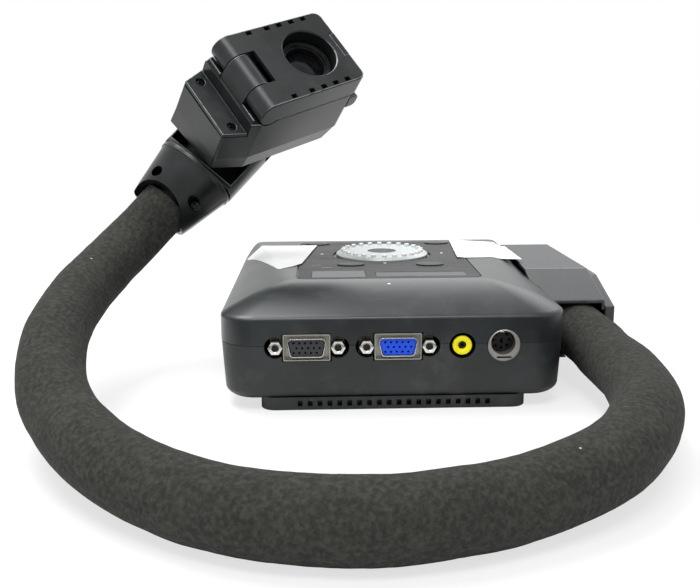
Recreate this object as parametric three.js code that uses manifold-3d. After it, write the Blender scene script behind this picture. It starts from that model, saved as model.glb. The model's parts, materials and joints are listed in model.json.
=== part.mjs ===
// Document camera: a desktop base with sockets and keys, a foam-covered gooseneck, and a camera
// head with a hinged lens lid. Millimetres, +Z up. The origin is the middle of the plinth's
// underside, the sockets face -Y, and the neck leaves the base on its +X side.

import * as THREE from 'three';
import { mergeVertices } from 'three/addons/utils/BufferGeometryUtils.js';
import Module from 'manifold-3d';

const wasm = await Module();
wasm.setup();

// Shared clearances

const gap = 0.3; // between two pieces that meet
const slip = 0.6; // round a piece that slides or turns
const over = 2; // how far a cutter runs past the face that it cuts

// Base casing

const casing = {
  halfWidth: 70,
  halfDepth: 67.5,
  wall: 2.5,
  undersideZ: 5.7,
  roundHeight: 8.3,
  roundWidth: 6,
  draft: 1.8,
  partingZ: 27.8,
  skirtStep: 0.4,
  rimZ: 38.8,
  topZ: 48.8,
  frontSlopeDepth: 29,
  backSlopeDepth: 2,
  frontRadius: 14,
  backRadius: 8,
  topRadius: 3,
  crownPower: 1.6,
};
const crownShares = [0.25, 0.5, 0.75, 1];
const topFrontWidthShare = 0.5643;
const topBackWidthShare = 0.9;
const frontFaceY = -casing.halfDepth;
const topFrontHalfWidth = casing.halfWidth * topFrontWidthShare;
const topBackHalfWidth = casing.halfWidth * topBackWidthShare;
const topFrontY = frontFaceY + casing.frontSlopeDepth;
const topBackY = casing.halfDepth - casing.backSlopeDepth;
const roundSteps = 3;
const cornerSteps = 3;

const plinth = {
  sideInset: 16,
  frontInset: 2.5,
  backInset: 7.5,
  radius: 6,
  slotPitch: 4,
  slotWidth: 2,
  slotLow: 2.6,
  slotHigh: 5,
  slotMargin: 14,
};
const plinthHalfWidth = casing.halfWidth - plinth.sideInset;
const plinthFrontY = frontFaceY + plinth.frontInset;
const plinthBackY = casing.halfDepth - plinth.backInset;

const pad = { radius: 5, height: 1.2, sideInset: 10, frontInset: 13, backInset: 12 };

const board = {
  sideInset: 12,
  frontInset: 6.5,
  backInset: 27.5,
  topZ: 19.6,
  thickness: 1.6,
  postRadius: 3,
  postSideInset: 6,
  postFrontInset: 11,
  postBackInset: 6,
};
const boardHalfWidth = casing.halfWidth - board.sideInset;
const boardFrontY = frontFaceY + board.frontInset;
const boardBackY = casing.halfDepth - board.backInset;
const ballast = { sideInset: 7, frontInset: 11, backInset: 6, thickness: 4.5 };

// Keys and the panel that carries them

const panel = {
  sideInset: 0.3,
  frontInset: 0.4,
  backInset: 5.5,
  radius: 4,
  thickness: 0.8,
  stand: 0.1,
};
const panelHalfWidth = topFrontHalfWidth - panel.sideInset;
const panelFrontY = topFrontY + panel.frontInset;
const panelBackY = topBackY - panel.backInset;
const panelDepth = panelBackY - panelFrontY;
const dialWidthShare = 0.0128;
const dialDepthShare = 0.6177;
const dial = {
  x: panelHalfWidth * dialWidthShare,
  y: panelFrontY + panelDepth * dialDepthShare,
  radius: 22.25,
  topZ: 50.6,
  rimZ: 49.6,
  shaftRadius: 8.9,
  boreRadius: 7.9,
  mouthRadius: 6.9,
  lip: 2,
  studCount: 24,
  studRadius: 1.2,
  studCircle: 18.9,
  studHeight: 0.6,
  wellClearance: 1.5,
};
const dialKey = { radius: 6.3, lipRadius: 7.3, topZ: 51.2, travel: 0.8 };
const key = { halfWidth: 6, halfDepth: 4, topZ: 49.7, lip: 1.2, lipHeight: 2.6, travel: 0.8 };
// Places on the panel, as shares of its half width and, from its front, of its depth
const keyShares = [
  ['front_left_key', -0.3954, 0.3221],
  ['front_right_key', 0.523, 0.3068],
  ['back_right_key', 0.7908, 0.9388],
  ['back_left_key', -0.7908, 0.9388],
];
const keyPlaces = keyShares.map(([name, x, y]) => ({
  name,
  x: panelHalfWidth * x,
  y: panelFrontY + panelDepth * y,
}));
const keyBoard = { frontSetback: 21.1, overrun: 1, topZ: 41.9, thickness: 1.6 };
const keyBoardFrontY = panelFrontY + keyBoard.frontSetback;
const keyPost = { radius: 2.5, sideInset: 5.2, frontInset: 4, backInset: 24 };
// Sides of the two plates along the panel's front, as shares of its half width
const windowSideShares = [-0.8418, -0.2551];
const nameSideShares = [-0.1352, 0.8597];
const windowPlate = { setback: 1.6, depth: 14.5, radius: 1.5, thickness: 0.9 };
const namePlate = { setback: 4.1, depth: 9.5, radius: 1.5, thickness: 0.6 };

// Sockets in the front face

const socketZ = 26.8;
const display = {
  width: 16.3,
  height: 7.9,
  slantShare: 0.09,
  cornerRadius: 1.8,
  shellWall: 0.6,
  insertSetback: 0.7,
  insertDepth: 5,
  stand: 1.1,
  flangeInset: 4.2,
  flangeThickness: 0.8,
  flangeWidth: 30.8,
  flangeHeight: 12.4,
  bodyDepth: 8,
  bodyWidth: 18.6,
  cutWidth: 20,
  cutHeight: 11.6,
  earRadius: 4.4,
  screwSpacing: 24.99,
  pinPitch: 2.29,
  rowPitch: 1.98,
  pinRadius: 0.45,
  pinDepth: 2,
};
const displayFrontY = frontFaceY - display.stand;
const flangeY = frontFaceY + display.flangeInset;
const standoff = { acrossFlats: 5, boreRadius: 1.2, boreDepth: 3, stand: 0.9 };
// Places along the front face, as shares of its half width
const displayOutShare = -0.5;
const displayInShare = 0.0186;
const videoShare = 0.3857;
const serialShare = 0.6229;
const displayPlaces = [
  { name: 'display_out', x: casing.halfWidth * displayOutShare },
  { name: 'display_in', x: casing.halfWidth * displayInShare },
];
const videoJack = {
  x: casing.halfWidth * videoShare,
  holeRadius: 5.3,
  barrelRadius: 3.9,
  boreRadius: 1.6,
  boreDepth: 6,
  ringRadius: 4.1,
  ringBore: 2.3,
  ringDepth: 1.8,
  frontY: frontFaceY + gap,
  length: 11.2,
};
const serialJack = {
  x: casing.halfWidth * serialShare,
  radius: 6.5,
  wall: 1.3,
  insertSetback: 4.5,
  pinRadius: 0.6,
  pinCircle: 3.2,
  pinCount: 7,
  pinDepth: 2,
  stand: 0.7,
  length: 12.2,
};
const serialFrontY = frontFaceY - serialJack.stand;
const serialBackY = serialFrontY + serialJack.length;

// Cover over the root of the neck, on the base's side

const cover = {
  overlap: 4,
  reach: 25.5,
  capReach: 30,
  frontY: -29,
  creaseY: 0,
  backInset: 5.5,
  lowZ: 8,
  frontZ: 36,
  creaseZ: 45,
  backZ: 46.5,
  capDrop: 2.9,
  wall: 2.2,
};
const coverLeft = casing.halfWidth - cover.overlap;
const coverRight = casing.halfWidth + cover.reach;
const coverCapRight = casing.halfWidth + cover.capReach;
const coverBackY = casing.halfDepth - cover.backInset;
const clampBlock = { length: 17, halfWidth: 12, low: 12.5, high: 11 };

// Gooseneck, a foam sleeve on a jointed core

const neck = {
  radius: 12.3,
  boreRadius: 6.4,
  coreRadius: 5.3,
  reach: 220,
  rootStand: 14.3,
  rootY: -8,
  bendLength: 45,
  coreIntoClamp: 19,
  coreIntoYoke: 21,
  stepLength: 12,
  bendStepLength: 9,
};
const neckSides = 16;
const coreSides = 8;
const boreSides = 10;
const bendCentreShares = [0.2, 0.455, 0.755];
// Places along the neck as shares of its reach, from the root, with heights above a neck at rest
const routeShares = [
  [0, 0.091, 0.058],
  [0, 0, 0.058],
  [0, -0.055, 0.057],
  [0.011, -0.121, 0.042],
  [0.022, -0.219, 0.025],
  [0.02, -0.364, 0.028],
  [-0.015, -0.532, 0.026],
  [-0.109, -0.674, 0.014],
  [-0.253, -0.767, 0.002],
  [-0.418, -0.818, 0.001],
  [-0.588, -0.802, 0.001],
  [-0.738, -0.719, 0.005],
  [-0.859, -0.597, 0.022],
  [-0.938, -0.469, 0.056],
  [-0.972, -0.326, 0.101],
  [-0.973, -0.176, 0.138],
  [-0.948, -0.029, 0.176],
  [-0.902, 0.068, 0.224],
  [-0.845, 0.1, 0.285],
  [-0.781, 0.14, 0.35],
];

// Collar and yoke at the end of the neck, in a frame with Z along the neck and X along the tilt pin

const yokeTurn = { roll: -124.2, tilt: 68.7, swivel: 71.5 };
const collar = {
  overSleeve: 4,
  length: 25,
  neckEndRadius: 15.5,
  headEndRadius: 19.6,
  ringRadius: 20.5,
  ringLength: 2.6,
  turn: -6.25,
};
const collarScrew = {
  x: 11,
  headRadius: 2.4,
  headHeight: 2,
  headY: -9.4,
  shankRadius: 1.3,
  shankY: 8,
  placeShare: 0.4,
};
const yoke = {
  stemRadius: 9,
  footThickness: 3,
  outerX: 22,
  armThickness: 4,
  armHalfWidth: 8.5,
  pivotZ: 49.3,
  webThickness: 3.2,
  webTopZ: 41,
};
const tiltPin = { radius: 2.5, boreClearance: 0.35 };
const turret = {
  barrelRadius: 8,
  discRadius: 13,
  discThickness: 3,
  pinRadius: 4,
  pinTopZ: -38.4,
  boreClearance: 0.4,
};

// Camera head, in a frame with its origin at the lens opening on the lid's face, Z out of the face

const head = {
  noseX: 17,
  tailX: -52.2,
  stepX: -41,
  sideX: -36.8,
  halfWidth: 20.4,
  tailHalfWidth: 15.7,
  seamZ: -11.6,
  deckThickness: 3.2,
  shelfZ: -9.9,
  shelfX: -39.3,
  shelfHalfWidth: 18.1,
  bandZ: -17.2,
  creaseZ: -37,
  tailCreaseZ: -34.5,
  tailUndercut: 1.25,
  bottomZ: -42.5,
  bottomInset: 5.5,
  wall: 2.2,
  swivelX: -21.2,
  swivelY: 5,
  pivotZ: -52.85,
};
const knuckle = {
  x: -32,
  z: -6.4,
  radius: 6.4,
  right: -8,
  left: 8.7,
  slotX: -25,
  slotSide: 0.5,
  pinRadius: 1.5,
  pinClearance: 0.35,
};
const lid = {
  noseX: 18.9,
  halfWidth: 20.5,
  seamZ: -11.3,
  cornerRadius: 4,
  wall: 2,
  lensHoleRadius: 12.8,
  notchNear: 15.6,
  notchFar: 18,
  notchHalfWidth: 7,
  ventWidth: 2.2,
  ventDepth: 1.6,
  ventInset: 2,
  ventCut: 1,
};
// Places of the vents along the lid, as shares of its reach to the nose
const ventShares = [-1.148, -0.624, -0.265, 0.095, 0.455];
const tongue = { near: 16, far: 17.6, halfWidth: 6.7, topZ: -0.6, lowZ: -15 };
const lug = { farX: 24, near: -20.4, far: -16.4, topZ: -11.6, lowZ: -21 };
const hingeCover = { thickness: 1.8, frontX: -41.4, backX: -52 };
const headScrew = {
  x: -46,
  y: 13,
  headRadius: 1.9,
  headZ: -16.9,
  headHeight: 1.6,
  shankRadius: 1,
  shankZ: -24,
};
const lens = {
  radius: 12,
  rimRadius: 9.5,
  topZ: -6,
  ledgeZ: -12.4,
  boreRadius: 7.5,
  lowZ: -35.5,
  glassZ: -8.7,
  glassCrown: 1.6,
};
const sensorBoard = { halfSize: 14, thickness: 1.6 };

// Finishes: colour, roughness, metalness

const finishes = {
  shell: [0x2b3336, 0.42, 0],
  shellLower: [0x272e30, 0.5, 0],
  panel: [0x1f2426, 0.3, 0],
  headShell: [0x3a3f40, 0.45, 0],
  foam: [0x3a3a37, 0.95, 0],
  steel: [0xa8a69c, 0.3, 1],
  dial: [0xd6dadb, 0.3, 0.1],
  key: [0x16191a, 0.5, 0],
  blue: [0x2f55d8, 0.4, 0],
  grey: [0x35383a, 0.5, 0],
  yellow: [0xf0e61a, 0.4, 0],
  black: [0x0c0d0e, 0.5, 0],
  rubber: [0x151515, 0.9, 0],
  board: [0x1c5a38, 0.5, 0],
  glass: [0x0a0d14, 0.05, 0],
  plate: [0x4a5254, 0.35, 0],
};

// Solids

function toSolid(geometry) {
  const bare = geometry.clone();
  bare.deleteAttribute('normal');
  bare.deleteAttribute('uv');
  const merged = mergeVertices(bare);
  return new wasm.Manifold(
    new wasm.Mesh({
      numProp: 3,
      vertProperties: new Float32Array(merged.attributes.position.array),
      triVerts: new Uint32Array(merged.index.array),
    }),
  );
}

function fromSolid(solid) {
  const mesh = solid.getMesh();
  const geometry = new THREE.BufferGeometry();
  geometry.setAttribute('position', new THREE.BufferAttribute(mesh.vertProperties, 3));
  geometry.setIndex(new THREE.BufferAttribute(mesh.triVerts, 1));
  return geometry;
}

function join(first, ...others) {
  return fromSolid(others.reduce((sum, other) => sum.add(toSolid(other)), toSolid(first)));
}

function cut(first, ...others) {
  return fromSolid(others.reduce((rest, other) => rest.subtract(toSolid(other)), toSolid(first)));
}

function common(first, second) {
  return fromSolid(toSolid(first).intersect(toSolid(second)));
}

// Straight solids: an outline pushed along one axis

const prismBases = {
  x: new THREE.Matrix4().makeBasis(
    new THREE.Vector3(0, 1, 0),
    new THREE.Vector3(0, 0, 1),
    new THREE.Vector3(1, 0, 0),
  ),
  y: new THREE.Matrix4().makeBasis(
    new THREE.Vector3(1, 0, 0),
    new THREE.Vector3(0, 0, 1),
    new THREE.Vector3(0, -1, 0),
  ),
  z: new THREE.Matrix4(),
};

function prism(axis, outline, low, high) {
  const shape = new THREE.Shape(outline.map(([u, v]) => new THREE.Vector2(u, v)));
  const geometry = new THREE.ExtrudeGeometry(shape, { depth: high - low, bevelEnabled: false });
  geometry.translate(0, 0, axis === 'y' ? -high : low);
  return geometry.applyMatrix4(prismBases[axis]);
}

function box(lowX, highX, lowY, highY, lowZ, highZ) {
  return prism('z', corners(lowX, highX, lowY, highY), lowZ, highZ);
}

function corners(lowU, highU, lowV, highV) {
  return [
    [lowU, lowV],
    [highU, lowV],
    [highU, highV],
    [lowU, highV],
  ];
}

function circle(u, v, radius, sides = 18) {
  return ellipse(u, v, radius, radius, sides);
}

function ellipse(u, v, halfU, halfV, sides = 18) {
  return Array.from({ length: sides }, (_, i) => {
    const angle = ((i + 0.5) / sides) * Math.PI * 2;
    return [u + halfU * Math.cos(angle), v + halfV * Math.sin(angle)];
  });
}

// Four rounded corners, anticlockwise from the low corner, as [u, v, radius] places
function rounded(places, steps = cornerSteps) {
  return places.flatMap(([u, v, radius], corner) => {
    const signU = corner === 0 || corner === 3 ? 1 : -1;
    const signV = corner < 2 ? 1 : -1;
    return Array.from({ length: steps + 1 }, (_, i) => {
      const angle = Math.PI + ((corner + i / steps) * Math.PI) / 2;
      return [
        u + radius * (signU + Math.cos(angle)),
        v + radius * (signV + Math.sin(angle)),
      ];
    });
  });
}

function roundedBox(lowU, highU, lowV, highV, radius) {
  return rounded(corners(lowU, highU, lowV, highV).map(([u, v]) => [u, v, radius]));
}

// Lofted solids: matching rings, each { z, outline }, from low to high
function loft(rings) {
  const count = rings[0].outline.length;
  const positions = rings.flatMap(({ z, outline }) => outline.flatMap(([x, y]) => [x, y, z]));
  const index = [];
  for (let ring = 0; ring + 1 < rings.length; ring += 1) {
    for (let i = 0; i < count; i += 1) {
      const a = ring * count + i;
      const b = ring * count + ((i + 1) % count);
      index.push(a, b, b + count, a, b + count, a + count);
    }
  }
  const capStart = (rings.length - 1) * count;
  for (let i = 1; i + 1 < count; i += 1) {
    index.push(0, i + 1, i, capStart, capStart + i, capStart + i + 1);
  }
  const geometry = new THREE.BufferGeometry();
  geometry.setAttribute('position', new THREE.Float32BufferAttribute(positions, 3));
  geometry.setIndex(index);
  return geometry;
}

function turned(profile, sides) {
  const points = [...profile, profile[0]].map(([radius, z]) => new THREE.Vector2(radius, z));
  return new THREE.LatheGeometry(points, sides).rotateX(Math.PI / 2);
}

// Base: the outline at each height, set in from the outer skin by an inset

function bodyRing(z, inset) {
  const x = casing.halfWidth - inset;
  const y = casing.halfDepth - inset;
  const front = casing.frontRadius - Math.min(inset, casing.backRadius - casing.topRadius);
  const back = casing.backRadius - Math.min(inset, casing.backRadius - casing.topRadius);
  return {
    z,
    outline: rounded([
      [-x, -y, front],
      [x, -y, front],
      [x, y, back],
      [-x, y, back],
    ]),
  };
}

function crownRing(share, inset, drop) {
  const blend = THREE.MathUtils.lerp;
  const front = blend(casing.halfWidth, topFrontHalfWidth, share) - inset;
  const back = blend(casing.halfWidth, topBackHalfWidth, share) - inset;
  const frontY = blend(frontFaceY, topFrontY, share) + inset;
  const backY = blend(casing.halfDepth, topBackY, share) - inset;
  const frontRadius = blend(casing.frontRadius, casing.topRadius, share);
  const backRadius = blend(casing.backRadius, casing.topRadius, share);
  const rise = 1 - (1 - share) ** casing.crownPower;
  return {
    z: blend(casing.rimZ, casing.topZ, rise) - drop,
    outline: rounded([
      [-front, frontY, frontRadius],
      [front, frontY, frontRadius],
      [back, backY, backRadius],
      [-back, backY, backRadius],
    ]),
  };
}

function lowerLoft(inset, floorZ, topZ) {
  const rings = [];
  const roundTopZ = casing.undersideZ + casing.roundHeight;
  for (let i = 0; i <= roundSteps; i += 1) {
    const angle = ((i / roundSteps) * Math.PI) / 2;
    const z = floorZ + (roundTopZ - floorZ) * (1 - Math.cos(angle));
    const bottomInset = casing.roundWidth * (1 - Math.sin(angle));
    rings.push(bodyRing(z, inset + casing.skirtStep + casing.draft + bottomInset));
  }
  rings.push(bodyRing(topZ, inset + casing.skirtStep));
  return loft(rings);
}

function upperLoft(inset, drop, lowZ) {
  const rings = [bodyRing(lowZ, inset), bodyRing(casing.rimZ - drop, inset)];
  rings.push(...crownShares.map((share) => crownRing(share, inset, drop)));
  return loft(rings);
}

function plinthSolid(inset, lowZ, highZ) {
  const x = plinthHalfWidth - inset;
  const frontY = plinthFrontY + inset;
  const backY = plinthBackY - inset;
  return prism('z', roundedBox(-x, x, frontY, backY, plinth.radius - inset), lowZ, highZ);
}

// Outline of a display socket, wider at the top, about the middle of its pins
function displayOutline(x, grow) {
  const half = display.width / 2 + grow;
  const slant = display.width * display.slantShare;
  const height = display.height / 2 + grow;
  const radius = display.cornerRadius + grow;
  const places = [
    [x - half + slant, socketZ - height, radius],
    [x + half - slant, socketZ - height, radius],
    [x + half, socketZ + height, radius],
    [x - half, socketZ + height, radius],
  ];
  return rounded(places, 2);
}

function displayCut(x) {
  const frontY = frontFaceY - over;
  const backY = frontFaceY + casing.wall + over;
  const halfWidth = display.cutWidth / 2;
  const halfHeight = display.cutHeight / 2;
  const middle = corners(x - halfWidth, x + halfWidth, socketZ - halfHeight, socketZ + halfHeight);
  const ears = [-1, 1].map((side) =>
    prism(
      'y',
      circle(x + (side * display.screwSpacing) / 2, socketZ, display.earRadius, 16),
      frontY,
      backY,
    ),
  );
  return join(prism('y', middle, frontY, backY), ...ears);
}

function roundCut(x, radius) {
  return prism(
    'y',
    circle(x, socketZ, radius),
    frontFaceY - over,
    frontFaceY + casing.wall + over,
  );
}

function socketCuts() {
  return [
    ...displayPlaces.map(({ x }) => displayCut(x)),
    roundCut(videoJack.x, videoJack.holeRadius),
    roundCut(serialJack.x, serialJack.radius + gap),
  ];
}

function padPlaces() {
  const padX = plinthHalfWidth - pad.sideInset;
  const rows = [plinthFrontY + pad.frontInset, plinthBackY - pad.backInset];
  return rows.flatMap((y) => [-padX, padX].map((x) => ({ x, y })));
}

function lowerShell() {
  const outer = join(
    lowerLoft(0, casing.undersideZ, casing.partingZ - gap),
    plinthSolid(0, 0, casing.undersideZ + casing.wall),
  );
  const inside = lowerLoft(casing.wall, casing.undersideZ + casing.wall, casing.partingZ + over);
  const plinthInside = plinthSolid(casing.wall, casing.wall, casing.undersideZ + 2 * casing.wall);
  let shell = cut(outer, inside, plinthInside, ...socketCuts());
  const postTop = board.topZ - board.thickness - gap;
  const postX = boardHalfWidth - board.postSideInset;
  const postRows = [boardFrontY + board.postFrontInset, boardBackY - board.postBackInset];
  const posts = postRows.flatMap((y) =>
    [-postX, postX].map((x) =>
      prism('z', circle(x, y, board.postRadius, 12), casing.wall / 2, postTop),
    ),
  );
  shell = join(shell, ...posts);
  const slotSpan = 2 * (plinthHalfWidth - plinth.slotMargin);
  const slotCount = Math.floor(slotSpan / plinth.slotPitch);
  const firstSlot = -((slotCount - 1) * plinth.slotPitch) / 2;
  const slots = Array.from({ length: slotCount }, (_, i) => {
    const x = firstSlot + i * plinth.slotPitch;
    const half = plinth.slotWidth / 2;
    const backY = plinthFrontY + casing.wall + over;
    return box(x - half, x + half, plinthFrontY - over, backY, plinth.slotLow, plinth.slotHigh);
  });
  const wells = padPlaces().map(({ x, y }) =>
    prism('z', circle(x, y, pad.radius + gap), -over, pad.height + gap),
  );
  return cut(shell, ...slots, ...wells);
}

const panelTopZ = casing.topZ + panel.stand;
const pocketZ = panelTopZ - panel.thickness - gap;

function panelOutline(grow) {
  return roundedBox(
    -panelHalfWidth - grow,
    panelHalfWidth + grow,
    panelFrontY - grow,
    panelBackY + grow,
    panel.radius + grow,
  );
}

function keyOutline({ x, y }, grow) {
  return ellipse(x, y, key.halfWidth + grow, key.halfDepth + grow);
}

function upperShell() {
  const lowZ = casing.partingZ;
  const innerTopZ = casing.topZ - casing.wall;
  const outer = upperLoft(0, 0, lowZ);
  const inside = upperLoft(casing.wall, casing.wall, lowZ - over);
  const pocket = prism('z', panelOutline(gap), pocketZ, casing.topZ + over);
  const keyHoles = keyPlaces.map((place) =>
    prism('z', keyOutline(place, slip / 2), innerTopZ - over, casing.topZ + over),
  );
  const shaftHole = prism(
    'z',
    circle(dial.x, dial.y, dial.shaftRadius + gap),
    innerTopZ - over,
    casing.topZ + over,
  );
  const shell = cut(outer, inside, ...socketCuts());
  const postX = panelHalfWidth - keyPost.sideInset;
  const postRows = [keyBoardFrontY + keyPost.frontInset, panelBackY - keyPost.backInset];
  const posts = postRows.flatMap((y) =>
    [-postX, postX].map((x) =>
      prism('z', circle(x, y, keyPost.radius, 12), keyBoard.topZ + gap, innerTopZ + casing.wall / 2),
    ),
  );
  return cut(join(shell, ...posts), pocket, ...keyHoles, shaftHole);
}

function platePrism(plate, sideShares, grow, lowZ, highZ) {
  const [left, right] = sideShares.map((share) => panelHalfWidth * share);
  const frontY = panelFrontY + plate.setback;
  const outline = roundedBox(
    left - grow,
    right + grow,
    frontY - grow,
    frontY + plate.depth + grow,
    plate.radius + grow,
  );
  return prism('z', outline, lowZ, highZ);
}

function controlPanel() {
  const lowZ = pocketZ + gap;
  const through = [lowZ - over, panelTopZ + over];
  return cut(
    prism('z', panelOutline(0), lowZ, panelTopZ),
    prism('z', circle(dial.x, dial.y, dial.radius + dial.wellClearance, 32), ...through),
    ...keyPlaces.map((place) => prism('z', keyOutline(place, slip), ...through)),
    platePrism(windowPlate, windowSideShares, gap, ...through),
    platePrism(namePlate, nameSideShares, gap, ...through),
  );
}

function dialRing() {
  const lowZ = pocketZ + gap;
  const body = turned(
    [
      [dial.mouthRadius, dial.topZ],
      [dial.mouthRadius, dial.topZ - dial.lip],
      [dial.boreRadius, dial.topZ - dial.lip],
      [dial.boreRadius, keyBoard.topZ + slip],
      [dial.shaftRadius, keyBoard.topZ + slip],
      [dial.shaftRadius, lowZ],
      [dial.radius, lowZ],
      [dial.radius, dial.rimZ],
      [dial.studCircle + dial.studRadius, dial.topZ],
    ],
    28,
  );
  const studs = Array.from({ length: dial.studCount }, (_, i) => {
    const angle = (i / dial.studCount) * Math.PI * 2;
    const x = dial.studCircle * Math.cos(angle);
    const y = dial.studCircle * Math.sin(angle);
    const lowStud = dial.topZ - dial.studHeight;
    return prism('z', circle(x, y, dial.studRadius, 6), lowStud, dial.topZ + dial.studHeight);
  });
  return join(body, ...studs).translate(dial.x, dial.y, 0);
}

function dialButton() {
  const lowZ = keyBoard.topZ + gap + dialKey.travel;
  const lipTopZ = dial.topZ - dial.lip - gap;
  return join(
    prism('z', circle(dial.x, dial.y, dialKey.radius), lowZ, dialKey.topZ),
    prism('z', circle(dial.x, dial.y, dialKey.lipRadius), lowZ, lipTopZ),
  );
}

function keyCap(place) {
  const lipTopZ = casing.topZ - casing.wall - gap;
  const lowZ = lipTopZ - key.lipHeight;
  return join(
    prism('z', keyOutline(place, 0), lowZ, key.topZ),
    prism('z', keyOutline(place, key.lip), lowZ, lipTopZ),
  );
}

// Socket pieces

function displayShell(x) {
  const flangeBackY = flangeY + display.flangeThickness;
  const bodyHalf = display.bodyWidth / 2;
  const bodyBackY = flangeBackY + display.bodyDepth;
  const bodyLow = board.topZ + gap;
  const bodyTop = socketZ + display.flangeHeight / 2;
  const flangeX = display.flangeWidth / 2;
  const flangeZ = display.flangeHeight / 2;
  const flange = corners(x - flangeX, x + flangeX, socketZ - flangeZ, socketZ + flangeZ);
  const skin = prism('y', displayOutline(x, 0), displayFrontY, flangeBackY);
  const hollow = prism(
    'y',
    displayOutline(x, -display.shellWall),
    displayFrontY - over,
    displayFrontY + display.insertSetback + display.insertDepth + gap,
  );
  const threads = [-1, 1].map((side) =>
    prism(
      'y',
      circle(x + (side * display.screwSpacing) / 2, socketZ, standoff.boreRadius, 8),
      flangeY - over,
      flangeBackY + over,
    ),
  );
  return cut(
    join(
      prism('y', flange, flangeY, flangeBackY),
      box(x - bodyHalf, x + bodyHalf, flangeY, bodyBackY, bodyLow, bodyTop),
      skin,
    ),
    hollow,
    ...threads,
  );
}

function displayInsert(x) {
  const frontY = displayFrontY + display.insertSetback;
  const block = prism(
    'y',
    displayOutline(x, -display.shellWall - gap),
    frontY,
    frontY + display.insertDepth,
  );
  const pins = [-1, 0, 1].flatMap((row) =>
    [-2, -1, 0, 1, 2].map((column) => {
      const shift = row === 0 ? display.pinPitch / 4 : -display.pinPitch / 4;
      const pinX = x + column * display.pinPitch + shift;
      const pinZ = socketZ + row * display.rowPitch;
      const outline = circle(pinX, pinZ, display.pinRadius, 6);
      return prism('y', outline, frontY - over, frontY + display.pinDepth);
    }),
  );
  return cut(block, ...pins);
}

function hexStandoff(x) {
  const across = standoff.acrossFlats / Math.sqrt(3);
  const frontY = frontFaceY - standoff.stand;
  return cut(
    prism('y', circle(x, socketZ, across, 6), frontY, flangeY - gap),
    prism(
      'y',
      circle(x, socketZ, standoff.boreRadius, 8),
      frontY - over,
      frontY + standoff.boreDepth,
    ),
  );
}

function videoBarrel() {
  const { x, frontY, barrelRadius, boreRadius, boreDepth } = videoJack;
  const backY = frontY + videoJack.length;
  const innerY = frontFaceY + casing.wall + casing.skirtStep + casing.draft + gap;
  return cut(
    join(
      prism('y', circle(x, socketZ, barrelRadius, 20), frontY + videoJack.ringDepth + gap, backY),
      box(
        x - videoJack.holeRadius - slip,
        x + videoJack.holeRadius + slip,
        innerY,
        backY,
        board.topZ + gap,
        socketZ + barrelRadius,
      ),
    ),
    prism('y', circle(x, socketZ, boreRadius, 12), frontY - over, frontY + boreDepth),
  );
}

function videoRing() {
  const { x, frontY, ringRadius, ringBore, ringDepth } = videoJack;
  return cut(
    prism('y', circle(x, socketZ, ringRadius), frontY, frontY + ringDepth),
    prism('y', circle(x, socketZ, ringBore, 16), frontY - over, frontY + ringDepth + over),
  );
}

function serialShell() {
  const { x, radius, wall, insertSetback } = serialJack;
  const boreEndY = serialBackY - insertSetback / 2;
  const tube = prism('y', circle(x, socketZ, radius), serialFrontY, serialBackY);
  const foot = box(
    x - radius / 2,
    x + radius / 2,
    serialBackY - over,
    serialBackY,
    board.topZ + gap,
    socketZ,
  );
  return cut(
    join(tube, foot),
    prism('y', circle(x, socketZ, radius - wall, 20), serialFrontY - over, boreEndY),
  );
}

function serialInsert() {
  const { x, radius, wall, insertSetback, pinCircle, pinRadius } = serialJack;
  const faceY = serialFrontY + insertSetback;
  const block = prism(
    'y',
    circle(x, socketZ, radius - wall - gap, 20),
    faceY,
    serialBackY - insertSetback / 2 - gap,
  );
  const pins = Array.from({ length: serialJack.pinCount }, (_, i) => {
    const angle = ((i + 1) / (serialJack.pinCount + 1)) * Math.PI * 2 + Math.PI / 2;
    const outline = circle(
      x + pinCircle * Math.cos(angle),
      socketZ + pinCircle * Math.sin(angle),
      pinRadius,
      8,
    );
    return prism('y', outline, faceY - over, faceY + serialJack.pinDepth);
  });
  return cut(block, ...pins);
}

function mainBoard() {
  const { topZ, thickness } = board;
  return box(-boardHalfWidth, boardHalfWidth, boardFrontY, boardBackY, topZ - thickness, topZ);
}

function ballastPlate() {
  const halfWidth = plinthHalfWidth - ballast.sideInset;
  const frontY = plinthFrontY + ballast.frontInset;
  const backY = plinthBackY - ballast.backInset;
  const lowZ = casing.wall + gap;
  return box(-halfWidth, halfWidth, frontY, backY, lowZ, lowZ + ballast.thickness);
}

function keyBoardPlate() {
  const { topZ, thickness } = keyBoard;
  const backY = panelBackY + keyBoard.overrun;
  return box(-panelHalfWidth, panelHalfWidth, keyBoardFrontY, backY, topZ - thickness, topZ);
}

// Neck

function route() {
  const points = routeShares.map(
    ([x, y, z]) =>
      new THREE.Vector3(
        casing.halfWidth + neck.rootStand + x * neck.reach,
        neck.rootY + y * neck.reach,
        neck.radius + z * neck.reach,
      ),
  );
  const curve = new THREE.CatmullRomCurve3(points, false, 'centripetal');
  curve.arcLengthDivisions = 1000;
  return curve;
}

class Stretch extends THREE.Curve {
  constructor(whole, from, to) {
    super();
    this.whole = whole;
    this.from = from;
    this.to = to;
  }

  getPoint(share, target = new THREE.Vector3()) {
    const place = THREE.MathUtils.lerp(this.from, this.to, share);
    return target.copy(this.whole.getPointAt(place / this.whole.getLength()));
  }
}

const neckRoute = route();
const neckLength = neckRoute.getLength();
const sleeveStart = neck.coreIntoClamp;
const sleeveEnd = neckLength - neck.coreIntoYoke;
const bendCentres = bendCentreShares.map((share) => share * neckLength);

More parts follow.
